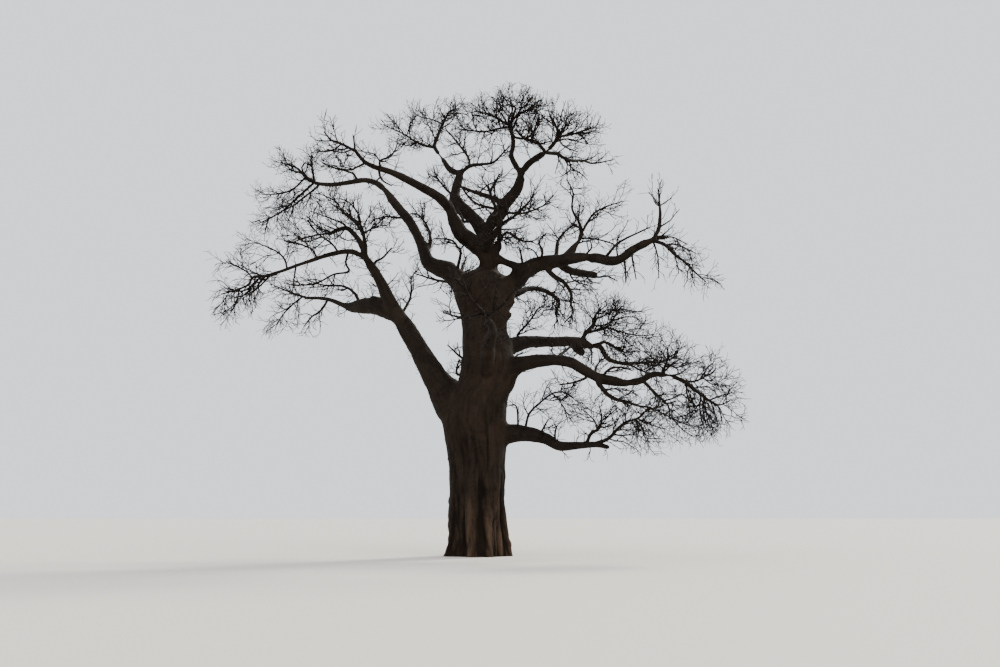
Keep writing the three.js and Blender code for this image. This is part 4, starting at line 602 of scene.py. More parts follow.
# Folds and ridges at the foot: the plan angle in degrees (-90 faces the camera), half width, how far it
# stands out (folds are negative), and the height where it ends.
FOOT_FOLDS = [
  (-36, 0.08, 0.08, 3.4), (-26, 0.06, -0.1, 3), (-13, 0.11, 0.06, 2.6), (-54, 0.06, -0.06, 2.1),
  (-68, 0.14, 0.055, 3), (-83, 0.14, -0.15, 2.5), (-105, 0.08, 0.07, 2.8), (-117, 0.06, -0.08, 2.2),
  (-143, 0.08, -0.06, 2.4), (8, 0.08, -0.07, 2.7), (34, 0.1, 0.06, 2.2), (52, 0.09, -0.08, 2.9),
  (80, 0.12, 0.06, 2.4), (101, 0.08, -0.09, 2.6), (128, 0.11, 0.05, 2.1), (152, 0.08, -0.07, 2.8),
  (176, 0.1, 0.05, 2.2), (203, 0.07, -0.06, 1.9),
]
FOOT_RADIUS = 1.25

# The bark: how many folds of each kind lie in a metre, two ways across the limb and along it, and how high
# or deep each kind of relief is. A knob's height and groove are shares of its size.
BROAD_FOLDS = [1.9, 1.9, 0.2]
LONG_FOLDS = [3.6, 3.6, 0.42]
NARROW_FOLDS = [7.5, 7.5, 1.1]
BROAD_DEPTH = 0.08
LONG_DEPTH = 0.008
LONG_DEEPER_LOW = 0.014  # what the depth gains at the trunk's foot
NARROW_DEPTH = 0.005
NARROW_DEEPER_LOW = 0.006
CREASE_DEPTH = 0.012
RING_HEIGHT = 0.004
SWELL_HEIGHT = 0.08
LUMP_HEIGHT = 0.012
GRAIN_HEIGHT = 0.005
KNOBS = 170
KNOB_HEIGHT = 0.36
KNOB_GROOVE = 0.05

# How limbs are drawn: points to a span between knots, the distance from point to point, how far they sway
# and swell against their radius, and how far from each end that fades.
POINTS_PER_SPAN = 10
BOUGH_STEP = 0.12
STEM_STEP = 0.09
GUIDE_STEP = 0.1
BOUGH_SWAY = 0.05
BOUGH_SWELL = 0.05
STEM_SWAY = 0.2
FINE_STEM_SWAY = 0.25
STEM_SWELL = 0.08
BEND_STRENGTH = 1.8
STILL_END = 0.5
STOUTER = 0.009  # what a stem's radius gains at its thin end
STOUTER_BELOW = 0.12  # the radius where it starts to gain

SKIN_CELL = 0.045  # the size of the skin's faces
SKIN_ENDS_AT = 0.17  # thinner stems leave the skin and go on as tubes
SKIN_RUNS_OUT = [0.8, 0.6, 0.35]  # the shares of the radius that it keeps there
POINTS_AT_ONCE = 3000


# Lines of the limbs


def in_place(across, up, depth):
    """The point at a depth that lines up with a place in the plane of the trunk: both offsets from the eye
    grow evenly with the distance from it."""
    away = 1 + depth / SIGHT_DISTANCE
    return np.array([EYE_ACROSS + (across - EYE_ACROSS) * away, depth,
                     EYE_HEIGHT + (up - EYE_HEIGHT) * away])


def line_through(knots, radii):
    """A limb's line, as rows of x, y, z and radius. Each span of the curve is the cubic that passes its two
    knots with slopes of half the step between each one's neighbours, and the end knots' neighbours are
    mirrored. The radius changes evenly from knot to knot."""
    knots = np.array(knots)
    ends = np.vstack([2 * knots[0] - knots[1], knots, 2 * knots[-1] - knots[-2]])
    along = np.linspace(0, len(knots) - 1, (len(knots) - 1) * POINTS_PER_SPAN + 1)
    span = np.minimum(along.astype(int), len(knots) - 2)
    part = (along - span)[:, None]
    before, start, end, after = (ends[span + i] for i in range(4))
    at = (start + part * (end - before) / 2 + part**2 * (before - 2.5 * start + 2 * end - after / 2)
          + part**3 * (1.5 * (start - end) + (after - before) / 2))
    return np.column_stack([at, np.interp(along, np.arange(len(knots)), radii)])


def limb_line(carrier, foot, knots):
    """The line of a limb from its foot, which is the point of its carrier's line that lines up nearest to
    the place stated, through its knots. Widths are seen ones too: each is halved and grows with the
    distance."""
    away = 1 + carrier[:, 1] / SIGHT_DISTANCE
    seen_across = EYE_ACROSS + (carrier[:, 0] - EYE_ACROSS) / away
    seen_up = EYE_HEIGHT + (carrier[:, 2] - EYE_HEIGHT) / away
    start = carrier[np.argmin(np.hypot(seen_across - foot[0], seen_up - foot[1])), :3]
    points = [start] + [in_place(*knot[:3]) for knot in knots]
    halves = [foot[2] / 2 * (1 + start[1] / SIGHT_DISTANCE)]
    halves += [knot[3] / 2 * (1 + knot[2] / SIGHT_DISTANCE) for knot in knots]
    return line_through(points, halves)


def steps_of(line):
    """The distance from each point of a line to the next."""
    return np.linalg.norm(np.diff(line[:, :3], axis=0), axis=1)


def distance_along(line):
    """Each point's distance from the line's start: the steps before it, added up."""
    return np.concatenate([[0], np.cumsum(steps_of(line))])


def spaced(line, step):
    """The same line with a point about every step, evenly along its length."""
    run = distance_along(line)
    want = np.linspace(0, run[-1], max(2, int(np.ceil(run[-1] / step)) + 1))
    return np.column_stack([np.interp(want, run, line[:, i]) for i in range(4)])


def unit(vectors):
    """Each vector divided by its length."""
    return vectors / np.maximum(np.linalg.norm(vectors, axis=-1, keepdims=True), 1e-12)


def side_of(ahead):
    """A direction square to each one given, level where it isn't steep."""
    steep = np.abs(ahead[..., 2:]) > 0.9
    return unit(np.cross(ahead, np.where(steep, [0.0, 1.0, 0.0], [0.0, 0.0, 1.0])))


def frames_along(at):
    """The directions at every point of many lines with as many points each: ahead, from the point before to
    the one after, and two sides square to it. Each first side is the one at the point before, less what of
    it lies ahead."""
    rings = at.shape[1]
    steps = np.arange(rings)
    ahead = unit(at[:, np.minimum(steps + 1, rings - 1)] - at[:, np.maximum(steps - 1, 0)])
    side = np.empty_like(ahead)
    side[:, 0] = side_of(ahead[:, 0])
    for i in range(1, rings):
        before = side[:, i - 1]
        side[:, i] = unit(before - ahead[:, i] * (before * ahead[:, i]).sum(1, keepdims=True))
    return ahead, side, np.cross(ahead, side)


# Chance and noise


def mixed(numbers):
    """Scrambled whole numbers of 32 bits: shift, exclude and multiply, twice."""
    h = numbers.astype(np.uint32)
    h = (h ^ (h >> np.uint32(16))) * np.uint32(0x7FEB352D)
    h = (h ^ (h >> np.uint32(15))) * np.uint32(0x846CA68B)
    return h ^ (h >> np.uint32(16))


def chance(ids, question):
    """From 0 to 1, the same each time for one id and one question: the id, mixed with the question's own
    number."""
    return mixed(ids ^ np.uint32((question + 1) * 0x9E3779B9 % 2**32)) / 2**32


def noise(points, seed):
    """Smooth noise from about -1 to 1 over points in space: each corner of the unit cell holds a slope of
    its own, and their heights at the point are blended by the curve 6t^5 - 15t^4 + 10t^3 along each
    axis."""
    cell = np.floor(points).astype(np.int64)
    part = points - cell
    blend = part**3 * (part * (part * 6 - 15) + 10)
    total = np.zeros(len(points))
    for corner in np.ndindex(2, 2, 2):
        x, y, z = ((cell + corner) & 0xFFFFF).astype(np.uint32).T
        ids = mixed(x * np.uint32(0x8DA6B343) + y * np.uint32(0xD8163841) + z * np.uint32(0xCB1AB31F)
                    + np.uint32(seed * 7919 + 1))
        slopes = [(ids >> np.uint32(shift) & np.uint32(1023)) / 511.5 - 1 for shift in (0, 10, 20)]
        weight = np.prod(np.where(corner, blend, 1 - blend), axis=1)
        total += weight * ((part - corner) * np.stack(slopes, 1)).sum(1)
    return total * 1.6


def layers(points, seed):
    """Noise of two sizes laid over one another, the second about half as wide and half as strong."""
    return (noise(points, seed) + noise(points * 2.03, seed + 1) / 2) / 1.5


def ridged(points, seed):
    """1 along the lines where the noise changes sign, and falling to 0 away from them: folds."""
    return 1 - np.minimum(np.abs(noise(points, seed)) * 2.2, 1)


def offsets(points, seeds):
    """A vector at each point, with noise of its own seed along each axis."""
    return np.stack([noise(points, seed) for seed in seeds], 1)


# Tubes


def tube_faces(rings, sides):
    """The triangles of a closed tube whose corners are numbered ring by ring: two for each step and side of
    its wall, and a fan over each end."""
    first = (np.arange(rings - 1) * sides)[:, None] + np.arange(sides)
    turned = (np.arange(rings - 1) * sides)[:, None] + (np.arange(sides) + 1) % sides
    wall = np.stack([first, turned, turned + sides, first, turned + sides, first + sides], -1).reshape(-1, 3)
    fan = np.stack([np.zeros(sides - 2, int), np.arange(2, sides), np.arange(1, sides - 1)], 1)
    return np.concatenate([wall, fan, (rings - 1) * sides + fan[:, ::-1]])


def tubes(lines, sides):
    """Closed tubes round many lines of the same number of points, as one set of points and faces. A ring's
    corners lie at the radius from its point, at even angles between the line's two sides."""
    count, rings = lines.shape[:2]
    side, other = frames_along(lines[:, :, :3])[1:]
    angle = np.arange(sides) / sides * 2 * np.pi
    radius = lines[:, :, 3, None, None]
    points = (lines[:, :, None, :3] + radius * (np.cos(angle)[:, None] * side[:, :, None]
                                                + np.sin(angle)[:, None] * other[:, :, None]))
    starts = (np.arange(count) * rings * sides)[:, None, None]
    return points.reshape(-1, 3), (tube_faces(rings, sides)[None] + starts).reshape(-1, 3)


def joined(parts):
    """Points and faces of several shells as one: each shell's faces count on from the points before it."""
    starts = np.cumsum([0] + [len(points) for points, _ in parts])
    return (np.vstack([points for points, _ in parts]),
            np.vstack([faces + start for (_, faces), start in zip(parts, starts)]))


def as_mesh(name, points, faces):
    """An object from arrays of points and of triangles or quads, with smooth shading."""
    mesh = bpy.data.meshes.new(name)
    size = faces.shape[1]
    mesh.vertices.add(len(points))
    mesh.vertices.foreach_set("co", np.asarray(points, np.float32).ravel())
    mesh.loops.add(faces.size)
    mesh.loops.foreach_set("vertex_index", np.asarray(faces, np.int32).ravel())
    mesh.polygons.add(len(faces))
    mesh.polygons.foreach_set("loop_start", np.arange(len(faces), dtype=np.int32) * size)
    mesh.polygons.foreach_set("use_smooth", np.ones(len(faces), bool))
    mesh.update(calc_edges=True)
    piece = bpy.data.objects.new(name, mesh)
    bpy.context.scene.collection.objects.link(piece)
    return piece


def set_values(piece, name, kind, values):
    """A value for each point of a piece, for its material to read."""
    attribute = piece.data.attributes.new(name, kind, "POINT")
    field = "value" if kind == "FLOAT" else "vector"
    attribute.data.foreach_set(field, np.asarray(values, np.float32).ravel())


# The limbs


def crooked(line, seed, sway, swell):
    """A limb's line with small bends and swellings, sized by its thickness and stilled at both ends: its
    middle moves aside by noise times the radius, and its radius changes by noise too. A thick limb bends
    more slowly."""
    run = distance_along(line)
    still = np.minimum(1, np.minimum(run, run[-1] - run) / STILL_END)
    places = np.column_stack([run, np.full(len(run), 0.5), np.full(len(run), 0.5)])
    pace = 1 / (0.35 + 3 * line[:, 3].mean())
    bent = line.copy()
    for i in range(3):
        bent[:, i] += sway * line[:, 3] * still * layers(places * pace, seed + 11 * i) * BEND_STRENGTH
    bent[:, 3] *= 1 + swell * still * layers(places * pace * 2.1, seed + 77) * BEND_STRENGTH
    return bent


def stout(line):
    """A stem's line with its thin end a little thicker, so that it ends bluntly: the added radius grows
    evenly as the stem gets thinner than the width where the addition starts."""
    line[:, 3] += STOUTER * np.clip(1 - line[:, 3] / STOUTER_BELOW, 0, 1)
    return line


def thick_part(line):
    """The part of a stem that the skin covers: until it is thinner than the skin's limit, and on for a few
    points as it narrows inside the tube that goes on from there."""
    thin = np.flatnonzero(line[:, 3] * 2 < SKIN_ENDS_AT)
    if not len(thin) or thin[0] < len(SKIN_RUNS_OUT):
        return None if len(thin) else line
    part = line[: thin[0] + len(SKIN_RUNS_OUT)].copy()
    part[thin[0]:, 3] *= SKIN_RUNS_OUT[: len(part) - thin[0]]
    return part


def spray_of(row, region, numbers, sway, skin_name):
    """A spray: its stem, which starts on its carrier, and its side stems, which start on the ones before
    them. Its numbers are the stem's id, the one before the side stems' ids, and the first seed for their
    bends."""
    name, carrier, spread, rise, *parts = row
    first_id, side_id, seed = numbers
    carrying = carrier_lines[carrier]
    stems = []
    for i, (foot, *knots) in enumerate(parts):
        line = limb_line(carrying, foot, knots)
        bent = crooked(stout(spaced(line, STEM_STEP)), seed + i, sway, STEM_SWELL)
        part = thick_part(bent)
        own_id = mixed(np.array([side_id + i if i else first_id]))[0]
        skinned = 0 if part is None else len(part) - len(SKIN_RUNS_OUT)
        stems.append({"id": own_id, "line": line, "bent": bent, "skin": part, "skinned": skinned})
        carrying = np.vstack([stem["line"] for stem in stems])
    return {"name": name, "region": region, "spread": spread, "rise": rise, "stems": stems,
            "skin_name": skin_name}


def trunk_radius(half_width, angle, height):
    """The trunk's radius: its half width, with waves round it that fade upwards, and a flare at the ground
    that fades upwards too and stands out more on the waves."""
    fade = np.exp(-np.maximum(height, 0) / FLUTE_HEIGHT)
    waves = sum(share * np.cos(folds * angle + turn) for share, folds, turn in FLUTES)
    flare = FLARE * np.exp(-height / FLARE_HEIGHT) * (0.7 + 1.2 * waves)
    return half_width * (1 + FLUTE_DEPTH * (0.25 + fade) * waves) + flare * fade


def trunk_shell():
    """The trunk's surface, from below the ground to its fork, by its radius at each height and angle."""
    outline = np.array(TRUNK_OUTLINE)
    heights = np.concatenate([BELOW_GROUND, np.linspace(0, outline[-1, 0], TRUNK_RINGS)])
    height, angle = np.meshgrid(heights, np.arange(TRUNK_SIDES) / TRUNK_SIDES * 2 * np.pi, indexing="ij")
    middle = np.interp(height, outline[:, 0], outline[:, 1])
    half = np.interp(height, outline[:, 0], outline[:, 2])
    radius = trunk_radius(half, angle, np.maximum(height, 0))
    points = np.stack([middle + radius * np.cos(angle), radius * np.sin(angle), height], -1).reshape(-1, 3)
    return points, tube_faces(len(heights), TRUNK_SIDES)


def round_shell(line):
    """A limb as a closed tube, its last ring drawn in so that the end is round."""
    ahead = unit(line[-1:, :3] - line[-2:-1, :3])
    cap = np.column_stack([line[-1:, :3] + ahead * line[-1, 3] * 0.5, line[-1:, 3:] * 0.6])
    return tubes(np.vstack([line, cap])[None], LIMB_SIDES)


# The lines of the trunk, from its second row up, and of the boughs.
trunk_rows = np.array(TRUNK_OUTLINE)[1:]
trunk_knots = np.column_stack([trunk_rows[:, 1], np.zeros(len(trunk_rows)), trunk_rows[:, 0]])
lines = {"trunk": line_through(trunk_knots, trunk_rows[:, 2])}
for name, carrier, foot, *knots in BOUGHS:
    lines[name] = limb_line(lines[carrier], foot, knots)

# The sprays and the finer stems. Their ids and seeds count up from starts that keep them apart.
carrier_lines = dict(lines)
region_of = {spray: region for region, names in REGIONS.items() for spray in names}
sprays = []
for i, row in enumerate(SPRAYS):
    numbers = (1000 + i, 5000 + 10 * i, 900 + 31 * i)
    sprays.append(spray_of(row, region_of[row[0]], numbers, STEM_SWAY, row[0]))
for spray in sprays:
    carrier_lines |= {f"{spray['name']}_{k}": stem["line"] for k, stem in enumerate(spray["stems"])}
finer = []
for i, (region, carrier, *rest) in enumerate(FINE_STEMS):
    numbers = (20000 + i, 30000 + 10 * i, 3900 + 31 * i)
    row = [f"fine_{i}", carrier, *rest]
    finer.append(spray_of(row, region, numbers, FINE_STEM_SWAY, f"{carrier}_fine_{i}"))
all_sprays = sprays + finer

# The lines that the skin covers: the trunk, the webs, the boughs and the thick parts of stems.
skin_lines = {"trunk": lines["trunk"]}
for i, (carrier, foot, knots) in enumerate(WEBS):
    skin_lines[f"{carrier}_web_{i}"] = limb_line(lines[carrier], foot, knots)
for i, (name, *_) in enumerate(BOUGHS):
    skin_lines[name] = crooked(spaced(lines[name], BOUGH_STEP), 100 + 7 * i, BOUGH_SWAY, BOUGH_SWELL)
for spray in all_sprays:
    for k, stem in enumerate(spray["stems"]):
        if stem["skin"] is not None:
            skin_lines[f"{spray['skin_name']}_{k}"] = stem["skin"]


# The skin of the trunk and boughs


def zone_of(limb):
    """Which skin piece a limb belongs to: its own zone if it is a bough, and its carrier's if it is a stem.
    The zone is the one with the longest start that the name has."""
    if limb.startswith("trunk"):
        return 0
    carriers = {row[0]: row[1] for row in SPRAYS}
    bough = carriers.get(limb.rsplit("_", 1)[0], limb)
    if bough == "trunk":
        bough = limb
    starts = [(len(start), zone) for zone, starts in enumerate(ZONES.values()) for start in starts
              if bough.startswith(start)]
    return max(starts)[1]


def remeshed(points, faces, cell):
    """One even skin of quads round everything that the shells enclose."""
    rough = as_mesh("rough", points, faces)
    remesh = rough.modifiers.new("skin", "REMESH")
    remesh.mode, remesh.voxel_size, remesh.adaptivity = "VOXEL", cell, 0
    mesh = bpy.data.meshes.new_from_object(rough.evaluated_get(bpy.context.evaluated_depsgraph_get()))
    points = np.empty(len(mesh.vertices) * 3, np.float32)
    mesh.vertices.foreach_get("co", points)
    corners = np.empty(len(mesh.loops), np.int32)
    mesh.loops.foreach_get("vertex_index", corners)
    bpy.data.objects.remove(rough)
    bpy.data.meshes.remove(mesh)
    return points.reshape(-1, 3).astype(float), corners.reshape(-1, 4)


def edges_of(faces):
    """Each edge of closed quads once."""
    edges = np.stack([faces, np.roll(faces, -1, 1)], -1).reshape(-1, 2)
    return edges[edges[:, 0] < edges[:, 1]]


def summed(keys, values, count):
    """The sum of the vectors that share a key, for each key from 0 up."""
    return np.stack([np.bincount(keys, values[:, k], count) for k in range(3)], 1)


def smoothed(points, edges, rounds, amount, keep=None):
    """Each point moved towards the mean of its neighbours, round by round. The amount may differ from point
    to point. With keep, every second step goes the other way by that share, which holds the thickness."""
    ends = np.concatenate([edges, edges[:, ::-1]])
    number = np.bincount(ends[:, 0], minlength=len(points))[:, None]
    for i in range(rounds * (2 if keep else 1)):
        mean = summed(ends[:, 0], points[ends[:, 1]], len(points)) / number
        step = amount if not (keep and i % 2) else -keep
        points = points + (mean - points) * step
    return points


def normals_of(points, faces):
    """The direction outwards at each point: the sum of its faces' own, each weighted by its area."""
    a, b, c, d = (points[faces[:, i]] for i in range(4))
    across = np.cross(c - a, d - b)
    return unit(summed(faces.ravel(), np.repeat(across, 4, axis=0), len(points)))


def off_balls(points, balls):
    """From each point to the surface of each ball: the distance to its middle, less its radius."""
    squares = (points**2).sum(1)[:, None] + (balls[:, :3] ** 2).sum(1) - 2 * points @ balls[:, :3].T
    return np.sqrt(np.maximum(squares, 0)) - balls[:, 3]


def near_limbs(points, guide, starts):
    """For each point, the nearest sample of any limb, measured from its surface, and how much farther the
    nearest other limb's surface is. The points are taken a few thousand at a time."""
    nearest = np.empty(len(points), int)
    margin = np.empty(len(points))
    for low in range(0, len(points), POINTS_AT_ONCE):
        off = off_balls(points[low : low + POINTS_AT_ONCE], guide)
        nearest[low : low + POINTS_AT_ONCE] = off.argmin(1)
        best = np.sort(np.minimum.reduceat(off, starts, axis=1), axis=1)
        margin[low : low + POINTS_AT_ONCE] = best[:, 1] - best[:, 0]
    return nearest, margin


def local_places(points, guide_frames, nearest):
    """Each point's place beside its limb: two offsets square to the limb, and the distance along it."""
    at, ahead, side, other, run = guide_frames
    off = points - at[nearest]
    return np.column_stack([(off * side[nearest]).sum(1), (off * other[nearest]).sum(1),
                            run[nearest] + (off * ahead[nearest]).sum(1)])


def foot_folds(points):
    """The sum of the folds and ridges round the foot: each is a bell across its width, fading out at its
    top."""
    angle = np.arctan2(points[:, 1], points[:, 0])
    height = np.maximum(points[:, 2], 0)
    sway = 0.05 * noise(np.column_stack([angle * 2, height * 1.3, height * 0]), 61)
    total = np.zeros(len(points))
    for degrees, width, out, top in FOOT_FOLDS:
        turned = (angle + sway - math.radians(degrees) + np.pi) % (2 * np.pi) - np.pi
        fade = np.clip(1.25 - height / top, 0, 1) ** 0.8
        total += out * fade * np.exp(-((turned * FOOT_RADIUS / width) ** 2))
    return total


def knobs(points, radius):
    """Knots and scars of lost limbs at chance places: low uneven domes, each a bell over the distance from
    its middle, less a thin ring of a bell that is the faint groove round it."""
    chosen = np.random.default_rng(5).choice(len(points), KNOBS, replace=False)
    chosen = chosen[radius[chosen] > 0.12]
    size = np.minimum(0.05 + 0.13 * np.random.default_rng(6).random(len(chosen)) ** 2, radius[chosen] * 0.45)
    points = points + 0.05 * offsets(points * 4, (71, 72, 73))
    total = np.zeros(len(points))
    for low in range(0, len(points), 20000):
        off = np.linalg.norm(points[low : low + 20000, None] - points[chosen], axis=2) / size
        dome = KNOB_HEIGHT * np.exp(-(off**2)) - KNOB_GROOVE * np.exp(-(((off - 1.6) / 0.45) ** 2))
        total[low : low + 20000] = (size * dome).sum(1)
    return total


def bark_relief(points, places, radius, margin, on_trunk):
    """How far the bark stands out at each point, and how deep it is folded from 0 to 1, which the bark's
    colour turns into painted shade in the folds and creases and painted light where there are none. Long
    folds follow the limb, creases go across it in patches, rings lie round some crotches, swellings are as
    wide as the limb, and lumps and fine grain are everywhere. Each is a noise or a fold of noise times its
    height or depth, and the long folds and creases fade out beside another limb."""
    small = np.minimum(1, radius / 0.4)
    beside = np.clip(margin / (0.5 * radius), 0, 1)
    low = np.where(on_trunk, np.exp(-np.maximum(points[:, 2], 0) / 5), 0)
    drift = 0.12 * offsets(points * 0.9, (21, 22, 23))
    broad = ridged((places + 2 * drift) * BROAD_FOLDS, 30) ** 2 * low
    long = ridged((places + drift) * LONG_FOLDS, 31) ** 2 * beside
    narrow = ridged((places + drift) * NARROW_FOLDS, 32) ** 2 * beside
    patch = np.clip(layers(points * 0.8, 41) * 2 + 0.35, 0, 1)
    along = places[:, 2] * 5.5 + 1.2 * noise(points * 1.4, 42)
    crease = ridged(np.column_stack([places[:, :2] * 1.7, along]), 43) ** 3
    crease *= patch * beside * (1 - 0.8 * low)
    collar = np.exp(-((margin / (0.2 + 0.25 * radius)) ** 2)) * np.clip(noise(points * 1.3, 45) * 3, 0, 1)
    ring = np.cos(margin * 34 + 5 * noise(points * 2, 44)) * collar * small
    wide = np.clip((radius - 0.15) / 0.6, 0, 1)
    swell = layers(points * 1.1, 51) * wide + layers(points * 2.6, 54) * (1 - wide)
    out = small * (SWELL_HEIGHT * swell * np.minimum(radius, 0.8) - BROAD_DEPTH * broad
                   - (LONG_DEPTH + LONG_DEEPER_LOW * low) * long
                   - (NARROW_DEPTH + NARROW_DEEPER_LOW * low) * narrow
                   - CREASE_DEPTH * crease + RING_HEIGHT * ring
                   + LUMP_HEIGHT * layers(points * 5.5, 52) + GRAIN_HEIGHT * noise(points * 14, 53))
    depth = np.clip(0.6 * broad + (0.12 + 0.22 * low) * long + (0.08 + 0.14 * low) * narrow + 0.34 * crease
                    - 0.1 * ring + 0.12, 0, 1)
    return out, depth


shells = [trunk_shell()] + [round_shell(line) for name, line in skin_lines.items() if name != "trunk"]
skin, quads = remeshed(*joined(shells), SKIN_CELL)
edges = edges_of(quads)
skin = smoothed(skin, edges, 7, 0.6, keep=0.62)

# Samples along every limb, which tell the bark which way its limb goes. Each limb's run starts elsewhere.
limb_names = list(skin_lines)
guide_lines = [spaced(skin_lines[name], GUIDE_STEP) for name in limb_names]
guide = np.vstack(guide_lines)
guide_sizes = [len(line) for line in guide_lines]
guide_limb = np.repeat(np.arange(len(guide_lines)), guide_sizes)
framed = [frames_along(line[None, :, :3]) for line in guide_lines]
run = np.concatenate([distance_along(line) + 3.7 * i for i, line in enumerate(guide_lines)])
guide_frames = (guide[:, :3], *(np.vstack([limb[k][0] for limb in framed]) for k in range(3)), run)
nearest, margin = near_limbs(skin, guide, np.cumsum([0] + guide_sizes[:-1]))
radius = guide[nearest, 3]

# The crotches are drawn smooth, and then the bark's relief is laid on. Near the ground it stands out level.
crotch = np.exp(-((margin / (0.45 * radius + 0.03)) ** 2))
crotch[skin[:, 2] < 1] = 0
skin = smoothed(skin, edges, 45, 0.55 * crotch[:, None])
normals = normals_of(skin, quads)
on_trunk = np.array([name.startswith("trunk") for name in limb_names])[guide_limb[nearest]]
places = local_places(skin, guide_frames, nearest)
out, depth = bark_relief(skin, places, radius, margin, on_trunk)
folds = np.where(skin[:, 2] < 4.5, foot_folds(skin), 0) * on_trunk
knob = knobs(skin, radius)
level = unit(normals * [1, 1, 0.0] + 1e-9)
steady = np.clip(1 - skin[:, 2:] / 0.8, 0, 1)
ways = unit(normals * (1 - steady) + level * steady)
skin = skin + ways * (out + folds + knob)[:, None]
# Painted shade in the folds of the foot and the grooves round the knobs, and painted light on the foot's
# ridges.
depth = np.clip(depth - 6 * folds - 12 * np.minimum(knob, 0), 0, 1)
normals = normals_of(skin, quads)


def majority(zone, faces, count, rounds):
    """Zones of faces, each changed to the one that most of the faces round it have, some rounds over."""
    for _ in range(rounds):
        votes = [np.bincount(faces.ravel(), np.repeat(zone == z, 4), count) for z in range(zone.max() + 1)]
        zone = np.stack(votes, 1)[faces].sum(1).argmax(1)
    return zone


def groups_of(pairs):
    """A number for each pair of points, the same for pairs that are linked end to end: each point takes the
    least number that a neighbour has, until none changes."""
    names, ends = np.unique(pairs, return_inverse=True)
    ends = ends.reshape(pairs.shape)
    label = np.arange(len(names))
    while True:
        least = np.minimum(label[ends[:, 0]], label[ends[:, 1]])
        after = label.copy()
        np.minimum.at(after, ends[:, 0], least)
        np.minimum.at(after, ends[:, 1], least)
        after = after[after]
        if (after == label).all():
            return label[ends[:, 0]]
        label = after


def skin_piece(name, chosen):
    """The faces of one zone as a closed piece: where it ends at another zone or at the ground, each open
    edge is closed by a fan to the middle of its rim. A rim's edges are those that no face runs along the
    other way."""
    used, corners = np.unique(chosen, return_inverse=True)
    corners = corners.reshape(chosen.shape)
    directed = np.stack([corners, np.roll(corners, -1, 1)], -1).reshape(-1, 2)
    key = directed[:, 0].astype(np.int64) * len(used) + directed[:, 1]
    back = directed[:, 1].astype(np.int64) * len(used) + directed[:, 0]
    rim = directed[~np.isin(key, back)]
    labels, group = np.unique(groups_of(rim), return_inverse=True)
    at = skin[used]
    centres = summed(group, at[rim[:, 0]], len(labels)) / np.bincount(group)[:, None]
    caps = np.column_stack([rim[:, 1], rim[:, 0], len(used) + group])
    halves = np.concatenate([corners[:, :3], corners[:, [0, 2, 3]]])
    points = np.vstack([at, centres])
    piece = as_mesh(name, points, np.concatenate([halves, caps]))
    a, b, c = (points[caps[:, i]] for i in range(3))
    flat = unit(np.cross(b - a, c - a))
    by_corner = np.concatenate([normals[used][halves.ravel()], np.repeat(flat, 3, axis=0)])
    piece.data.normals_split_custom_set(by_corner.tolist())
    fill = np.zeros((len(centres), 3))
    set_values(piece, "painted_fold_shade", "FLOAT", np.append(depth[used], fill[:, 0]))
    set_values(piece, "along_limb", "FLOAT_VECTOR", np.vstack([places[used], fill]))
    set_values(piece, "off_seams", "FLOAT", np.append(np.clip(margin[used] / 0.14, 0, 1), fill[:, 0]))
    return piece


# Each face belongs to the zone of its nearest limb, and those below the ground to none. The rim at the
# ground is drawn level.
zone_names = list(ZONES)
limb_zone = np.array([zone_of(name) for name in limb_names])
point_zone = limb_zone[guide_limb[nearest]]
face_zone = majority(point_zone[quads[:, 0]], quads, len(skin), 8)
ground = len(zone_names)
face_zone[skin[quads][:, :, 2].mean(1) < 0] = ground
under, over = np.zeros((2, len(skin)), bool)
under[quads[face_zone == ground]] = True
over[quads[face_zone != ground]] = True
skin[under & over, 2] = 0
skin[over, 2] = np.maximum(skin[over, 2], 0)
skin_pieces = {name: skin_piece(name, quads[face_zone == z]) for z, name in enumerate(zone_names)}


# Stems, branches and twigs


def at_even_shares(line):
    """The same line with a set number of points, at even shares of its samples."""
    share = np.linspace(0, len(line) - 1, LINE_POINTS)
    return np.column_stack([np.interp(share, np.arange(len(line)), line[:, i]) for i in range(4)])


